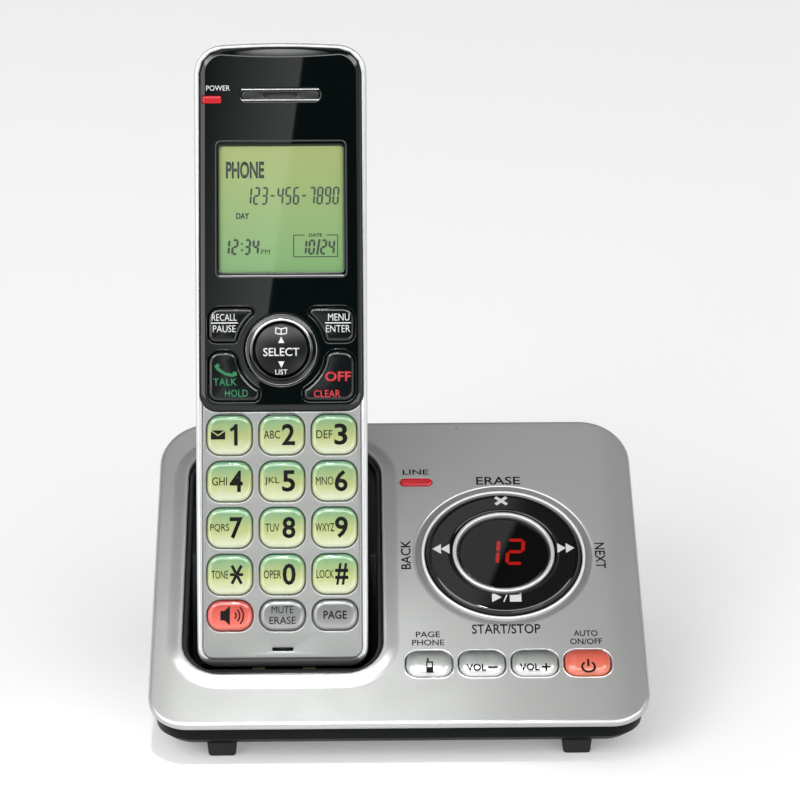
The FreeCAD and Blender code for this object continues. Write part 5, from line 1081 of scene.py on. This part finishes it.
screen_shapes = number_bars("123-456-7890", -9.8, 130.1, 1.78, 5.0, 2.2, 0.5)
screen_shapes += number_bars("12:34", -16.0, 115.8, 1.9, 4.5, 2.3, 0.62)
screen_shapes += number_bars("10/24", 5.4, 115.7, 1.85, 4.3, 2.2, 0.58)
screen_shapes += [strip(*ends, 0.25) for ends in (
    (3.5, 113, 15.7, 113), (3.5, 119.05, 6.6, 119.05), (12.6, 119.05, 15.7, 119.05),
    (3.5, 113, 3.5, 119.05), (15.7, 113, 15.7, 119.05),
)]
piece(
    "screen_digits", prisms(screen_shapes, -0.56, -0.5), HANDSET, screen_ink, "handset", "screen_glass",
)
screen_words = [
    ("PHONE", -9.9, 137.4, 10.6, 4.8, 0), ("PM", -4.3, 114.4, 2.4, 1.45, 0),
    ("DAY", -10.6, 124.5, 3.6, 1.7, 0), ("DATE", 9.6, 119.05, 3.6, 0.9, 0),
]
piece(
    "screen_words", words(screen_words, -0.56, 0.06, 0.3), HANDSET, screen_ink, "handset",
    "screen_glass",
)
lens_bead = finish(
    "lens_bead", (0.05, 0.055, 0.055), 0.15, speckle=0.1, grain=2000, relief=0.01, metallic=0.4,
)
piece("screen_bead", grow(bead_tree, {
    "Count": 1, "First": (0.1, 126.3, 0.42), "Pitch": (0, 0, 0), "Width": 36.2, "Height": 38.2,
    "Corner": 1.5, "Bead": 0.26, "Finish": lens_bead,
}), HANDSET, lens_bead, "handset", "gloss_black_plate")


BAR_LEVEL = 107.6


def tapered(spot):
    """The bar below the screen thins out towards its ends."""
    return Vector((spot.x, BAR_LEVEL + (spot.y - BAR_LEVEL) * (1 - (spot.x / 22) ** 2), spot.z))


# The pale bar below the screen is a painted highlight along the plate's edge.
foot_bar = [(0.5, 0.72), (0.35, 0.78), (0.12, 0.66), (0, 0.45), (0, 0.1)]
piece(
    "screen_foot",
    moulding(edge_of(box_corners(0.1, BAR_LEVEL, 34.8, 1.1, 0.5), foot_bar, 4), shape=tapered), HANDSET,
    painted_highlight_bead, "handset", "gloss_black_plate",
)

# ---------------------------------------------------------------- earpiece, charge light, microphone
# A slotted black grille covers the receiver, and a red light pipe shows that the battery is
# charging.
grille_black = finish(
    "grille_black", (0.02, 0.022, 0.022), 0.28, speckle=0.15, relief=0.03, metallic=0.3,
)
grille_corners = box_corners(*EAR_SLOT, 21.8, 3.0, 1.45)
grille_edge = [(0.5, 0.05), (0.3, 0.04), (0.1, -0.05), (0, -0.2), (0, -1.6), (0.3, -1.6)]
grille_slot = edge_of(
    box_corners(*EAR_SLOT, 9.2, 1.2, 0.59),
    [(-0.3, 0.05), (-0.15, 0.02), (0, -0.15), (0, -1.6), (-0.1, -1.6)], 5,
)
piece(
    "ear_grille", moulding(edge_of(grille_corners, grille_edge, 6), [grille_slot]), HANDSET,
    grille_black, "handset", "grille_metal", "earpiece_grille",
)
# The pale lips along the ear slot are painted highlights.
lip_edge = [(0.13, 0.7), (0.05, 0.66), (0, 0.5), (0, 0.3)]
lips = [moulding(edge_of(box_corners(0, y, 21.6, 0.34, 0.16), lip_edge, 4)) for y in (159.85, 156.85)]
piece("ear_lips", joined(*lips), HANDSET, painted_highlight_bead, "handset", "gloss_black_plate")
charge_edge = [(0.5, 0.5), (0.3, 0.48), (0.1, 0.38), (0, 0.2), (0, -5), (0.3, -5)]
piece(
    "charge_lens", moulding(edge_of(box_corners(*CHARGE_LIGHT, 5.3, 2.2, 0.6), charge_edge, 4)),
    HANDSET, red_lens, "handset", "light_lens", "charge_light",
)
white_ink = finish("white_ink", (0.78, 0.79, 0.79), 0.45, speckle=0.05)
piece(
    "plate_lettering", words([("POWER", -17.3, 160.3, 6.6, 1.5, 0)], 0.49, 0.03), HANDSET, white_ink,
    "handset", "gloss_black_plate",
)
battery_sleeve = finish("battery_sleeve", (0.05, 0.16, 0.35), 0.35, speckle=0.1, grain=1200)
for node, its_finish in (
    ("microphone", carrier_black), ("earpiece_receiver", speaker_steel),
    ("handset_key_mat", mat_rubber), ("handset_circuit_board", board_green),
    ("handset_case_screws", screw_steel), ("handset_charge_contacts", contact_gold),
    ("battery_pack", battery_sleeve),
):
    dress(node, its_finish)

# ---------------------------------------------------------------- navigation key
# A chromed ring is pressed into the plate round a domed black key that rocks up and down.
# The ring runs from near black at its foot to near white at its top: a painted reflection.
chrome_with_painted_reflection = key_paint_with_painted_light(
    "chrome_with_painted_reflection", (0.012, 0.012, 0.012), (0.06, 0.062, 0.062), (0.9, 0.9, 0.9), 0.16, metallic=1,
)
torus = [(8.8, -1.6), (8.8, 1.0)]
over_the_top = [math.radians(degrees) for degrees in range(10, 180, 10)]
torus += [(8.3 + 0.5 * math.cos(t), 1.0 + 0.7 * math.sin(t)) for t in over_the_top]
torus += [(7.8, 1.0), (7.8, -1.6)]
skirt = [(9.85, -1.6), (9.85, 0.5), (9.75, 0.6), (9.5, 0.68), (9.1, 0.78), (8.82, 0.82), (8.82, -1.6)]
ring_mesh = face_mapped(ring(*NAVIGATION, torus), box_corners(*NAVIGATION, 19.7, 19.7, 9.8))
piece(
    "navigation_ring", ring_mesh, HANDSET, chrome_with_painted_reflection, "handset", "bright_trim",
    "navigation_ring_trim",
)
piece("navigation_skirt", ring(*NAVIGATION, skirt), HANDSET, plate_gloss, "handset", "bright_trim")
# The pale lip round the navigation ring is a painted highlight.
lip_profile = [(9.84, 0.45), (9.83, 0.72), (9.75, 0.8), (9.66, 0.72), (9.62, 0.45)]
piece("navigation_lip", ring(*NAVIGATION, lip_profile), HANDSET, painted_highlight_bead, "handset", "bright_trim")
dome_radii = (0.4, 1.2, 2.4, 3.6, 4.8, 5.8, 6.6, 7.0)
dome_profile = [(radius, 2 - (radius / 7.4) ** 2 * 0.85) for radius in dome_radii]
dome_profile += [
    (7.3, 1.02), (7.42, 0.85), (7.45, 0.6), (7.45, -2.3), (8.4, -2.3), (8.4, -3.1), (7.8, -3.1),
]
key_gloss = finish("key_gloss", (0.006, 0.008, 0.008), 0.08, speckle=0.1, grain=1500, relief=0.003)
tuned(key_gloss, {"Specular IOR Level": 0.6})
dome_gloss = finish("dome_gloss", (0.003, 0.004, 0.004), 0.26, speckle=0.1, grain=1500, relief=0)
tuned(dome_gloss, {"Specular IOR Level": 0.3})
piece(
    "navigation_dome", moulding(circle_edge(*NAVIGATION, dome_profile)), HANDSET, dome_gloss,
    "navigation", "navigation_plastic", "navigation_key",
)
dome_rise = crown_level([*reversed([(0.0, 2.0), *dome_profile[:9]])], *NAVIGATION)
up_sign = [(-0.85, 88.7), (0.85, 88.7), (0, 90.5)]
down_sign = [(-0.85, 83.65), (0, 81.85), (0.85, 83.65)]
book_sign = [strip(*ends, 0.3) for ends in (
    (-1.5, 93.05, -1.5, 91.4), (1.5, 93.05, 1.5, 91.4), (0, 92.65, 0, 91.15), (-1.5, 93.05, 0, 92.65),
    (0, 92.65, 1.5, 93.05), (-1.5, 91.4, 0, 91.15), (0, 91.15, 1.5, 91.4),
)]


def draped(data, rise):
    """Lay flat printing on a domed face."""
    mesh = bmesh.new()
    mesh.from_mesh(data)
    bmesh.ops.triangulate(mesh, faces=mesh.faces[:])
    bmesh.ops.subdivide_edges(mesh, edges=mesh.edges[:], cuts=1, use_grid_fill=True)
    for vertex in mesh.verts:
        vertex.co.z += rise(vertex.co.x, vertex.co.y)
    return as_mesh(mesh)


navigation_words = words(
    [("SELECT", 0, 86.25, 10.0, 2.3, 0), ("LIST", 0, 80.75, 3.4, 1.4, 0)], -0.01, 0.04, 0.12,
)
navigation_print = joined(navigation_words, prisms([up_sign, down_sign, *book_sign], -0.01, 0.03))
piece(
    "navigation_signs", draped(navigation_print, dome_rise), HANDSET, white_ink, "navigation",
    "navigation_plastic",
)

# ---------------------------------------------------------------- soft keys
# Four gloss black keys follow the navigation ring. Their legends are white, green and red.
soft_profile = [
    (1.1, 1.2), (0.85, 1.19), (0.6, 1.14), (0.38, 1.04), (0.2, 0.88), (0.07, 0.65), (0, 0.4), (0, -1.9),
    (0.1, -1.9), (0.1, -2.7), (0.5, -2.7),
]
green_ink = finish("green_ink", (0.006, 0.16, 0.055), 0.45, speckle=0.08)
red_ink = finish("red_ink", (0.52, 0.02, 0.03), 0.45, speckle=0.08)
receiver_sign = [
    (-18.5, 82.5), (-17.6, 83.3), (-16.9, 82.7), (-17.3, 82.1), (-15.4, 80.75), (-13.5, 80.35),
    (-13.3, 80.95), (-12.3, 80.85), (-12.3, 79.8), (-13.6, 79.5), (-15.6, 79.95), (-17.7, 81.3),
]


def legend(weight, *lines, level=1.19):
    """Words on a key's face, each given as (text, x, y, width, height)."""
    return words([(*line, 0) for line in lines], level, 0.04, weight)


SOFT_PRINT = (1.18, 1.23)
soft_marks = {
    "redial_key": [
        (white_ink, legend(0.04, ("RECALL", -15.7, 96.0, 6.9, 1.95), ("PAUSE", -15.7, 92.85, 6.3, 1.95))),
        (white_ink, prisms([strip(-19.3, 94.45, -11.9, 94.45, 0.3)], *SOFT_PRINT)),
    ],
    "menu_key": [
        (white_ink, legend(0.02, ("MENU", 15.9, 95.9, 5.9, 1.95), ("ENTER", 15.7, 92.7, 6.7, 1.95))),
        (white_ink, prisms([strip(12.1, 94.3, 19.3, 94.3, 0.3)], *SOFT_PRINT)),
    ],
    "talk_key": [
        (green_ink, legend(0.18, ("TALK", -15.5, 78.1, 6.6, 2.1), ("HOLD", -12.4, 74.95, 6.4, 2.1))),
        (green_ink, prisms([receiver_sign], *SOFT_PRINT)),
    ],
    "off_key": [
        (red_ink, legend(0.3, ("OFF", 15.6, 79.45, 7.3, 2.8))),
        (red_ink, legend(0.18, ("CLEAR", 12.6, 74.7, 7.4, 2.1))),
    ],
}
for key_name, plan in soft_plans.items():
    cap = moulding(edge_of(plan, soft_profile, 4))
    piece("cap_of_" + key_name, cap, HANDSET, key_gloss, key_name + "_cap", "function_key", key_name)
    for number, (ink, mark) in enumerate(soft_marks[key_name]):
        piece(
            "mark_of_%s_%d" % (key_name, number), mark, HANDSET, ink, key_name + "_cap", "function_key",
        )

# ---------------------------------------------------------------- number and function keys
# Twelve clear keys, tinted green on the back, carry the digits and the telephone letters.
# Below them stand an orange red loudspeaker key and two grey keys.
# Painted light: the clear, orange and grey keys are pale at their foot and darker at their top.
clear_green = key_paint_with_painted_light(
    "clear_green", (0.68, 0.72, 0.53), (0.45, 0.5, 0.2), (0.14, 0.34, 0.19), 0.2, coat=0.8,
)
orange_clear = key_paint_with_painted_light(
    "orange_clear", (0.86, 0.2, 0.15), (0.72, 0.13, 0.1), (0.45, 0.05, 0.04), 0.22, coat=0.6,
)
grey_clear = key_paint_with_painted_light(
    "grey_clear", (0.42, 0.43, 0.42), (0.3, 0.31, 0.3), (0.2, 0.21, 0.21), 0.25, metallic=0.4, coat=0.4,
)
key_profile = [
    (1.9, 0.9), (1.5, 0.89), (1.1, 0.86), (0.75, 0.78), (0.45, 0.64), (0.22, 0.44), (0.07, 0.2),
    (0, -0.1), (0, -1.9), (-0.5, -1.9), (-0.5, -2.7), (0.5, -2.7),
]
KEY_FACE = 0.89
KEY_PRINT = (0.88, 0.94)
legends = [
    ("number_1_key", "1", "", 0), ("number_2_key", "2", "ABC", 4.46), ("number_3_key", "3", "DEF", 4.4),
    ("number_4_key", "4", "GHI", 4.07), ("number_5_key", "5", "JKL", 4.1),
    ("number_6_key", "6", "MNO", 4.86), ("number_7_key", "7", "PQRS", 5.2),
    ("number_8_key", "8", "TUV", 3.9), ("number_9_key", "9", "WXYZ", 5.2),
    ("star_key", "", "TONE", 4.6), ("number_0_key", "0", "OPER", 4.8), ("hash_key", "#", "LOCK", 4.8),
]
own_signs = {
    "star_key": [
        strip(0.6, -2.5, 3.2, 2.5, 0.8), strip(0.6, 2.5, 1.7, 0.4, 0.8),
        strip(2.1, -0.4, 3.2, -2.5, 0.8), strip(0.1, 0, 1.45, 0, 0.8), strip(2.35, 0, 3.7, 0, 0.8),
    ],
    "number_1_key": [
        [
            (2.3, -2.95), (2.3, 2.95), (1.5, 2.95), (1.1, 2.3), (0.25, 1.75), (0.25, 0.85), (1.3, 1.3),
            (1.3, -2.95),
        ],
        [(-4.85, 1.25), (-3.1, 0.05), (-1.35, 1.25)],
        [(-5.08, -1.25), (-1.12, -1.25), (-1.12, 1), (-3.1, -0.35), (-5.08, 1)],
    ],
}
for (key_name, digit, letters, span), (x, y) in zip(legends, number_spots):
    plan = box_corners(x, y, *NUMBER_KEY)
    piece(
        "cap_of_" + key_name, key_cap(plan, key_profile), HANDSET, clear_green, key_name + "_cap",
        "clear_key", key_name,
    )
    own_sign = [[(x + px, y + py) for px, py in points] for points in own_signs.get(key_name, [])]
    marks = [prisms(own_sign, *KEY_PRINT)]
    if letters:
        marks.append(legend(0.03, (letters, x - 2.7, y, span, 2.25), level=KEY_FACE))
    if digit and letters:
        marks.append(legend(0.22, (digit, x + 1.85, y, 3.6, 5.9), level=KEY_FACE))
    piece("mark_of_" + key_name, joined(*marks), HANDSET, dark_ink, key_name + "_cap", "clear_key")

speaker_sign = [
    (-17.0, 12.6), (-15.9, 12.6), (-14.4, 11.2), (-14.4, 16.6), (-15.9, 15.2), (-17.0, 15.2),
]
wave_sign = [speaker_sign]
for radius in (1.2, 2.2, 3.2):
    wave_sign += arc_bars(-13.9, 13.9, radius - 0.2, radius + 0.2, -45, 90, 8)
function_marks = {
    "speaker_key": (orange_clear, "orange_key", prisms(wave_sign, *KEY_PRINT)),
    "mute_key": (grey_clear, "function_key", legend(
        0.03, ("MUTE", 0, 15.4, 6.0, 2.0), ("ERASE", 0, 12.5, 7.2, 2.0), level=KEY_FACE,
    )),
    "intercom_key": (grey_clear, "function_key", legend(
        0.15, ("PAGE", *function_spots[2], 6.4, 2.3), level=KEY_FACE,
    )),
}
for (key_name, (paint, slot_name, mark)), (x, y) in zip(function_marks.items(), function_spots):
    plan = box_corners(x, y, *FUNCTION_KEY)
    piece(
        "cap_of_" + key_name, key_cap(plan, key_profile), HANDSET, paint, key_name + "_cap", slot_name,
        key_name,
    )
    piece("mark_of_" + key_name, mark, HANDSET, dark_ink, key_name + "_cap", slot_name)
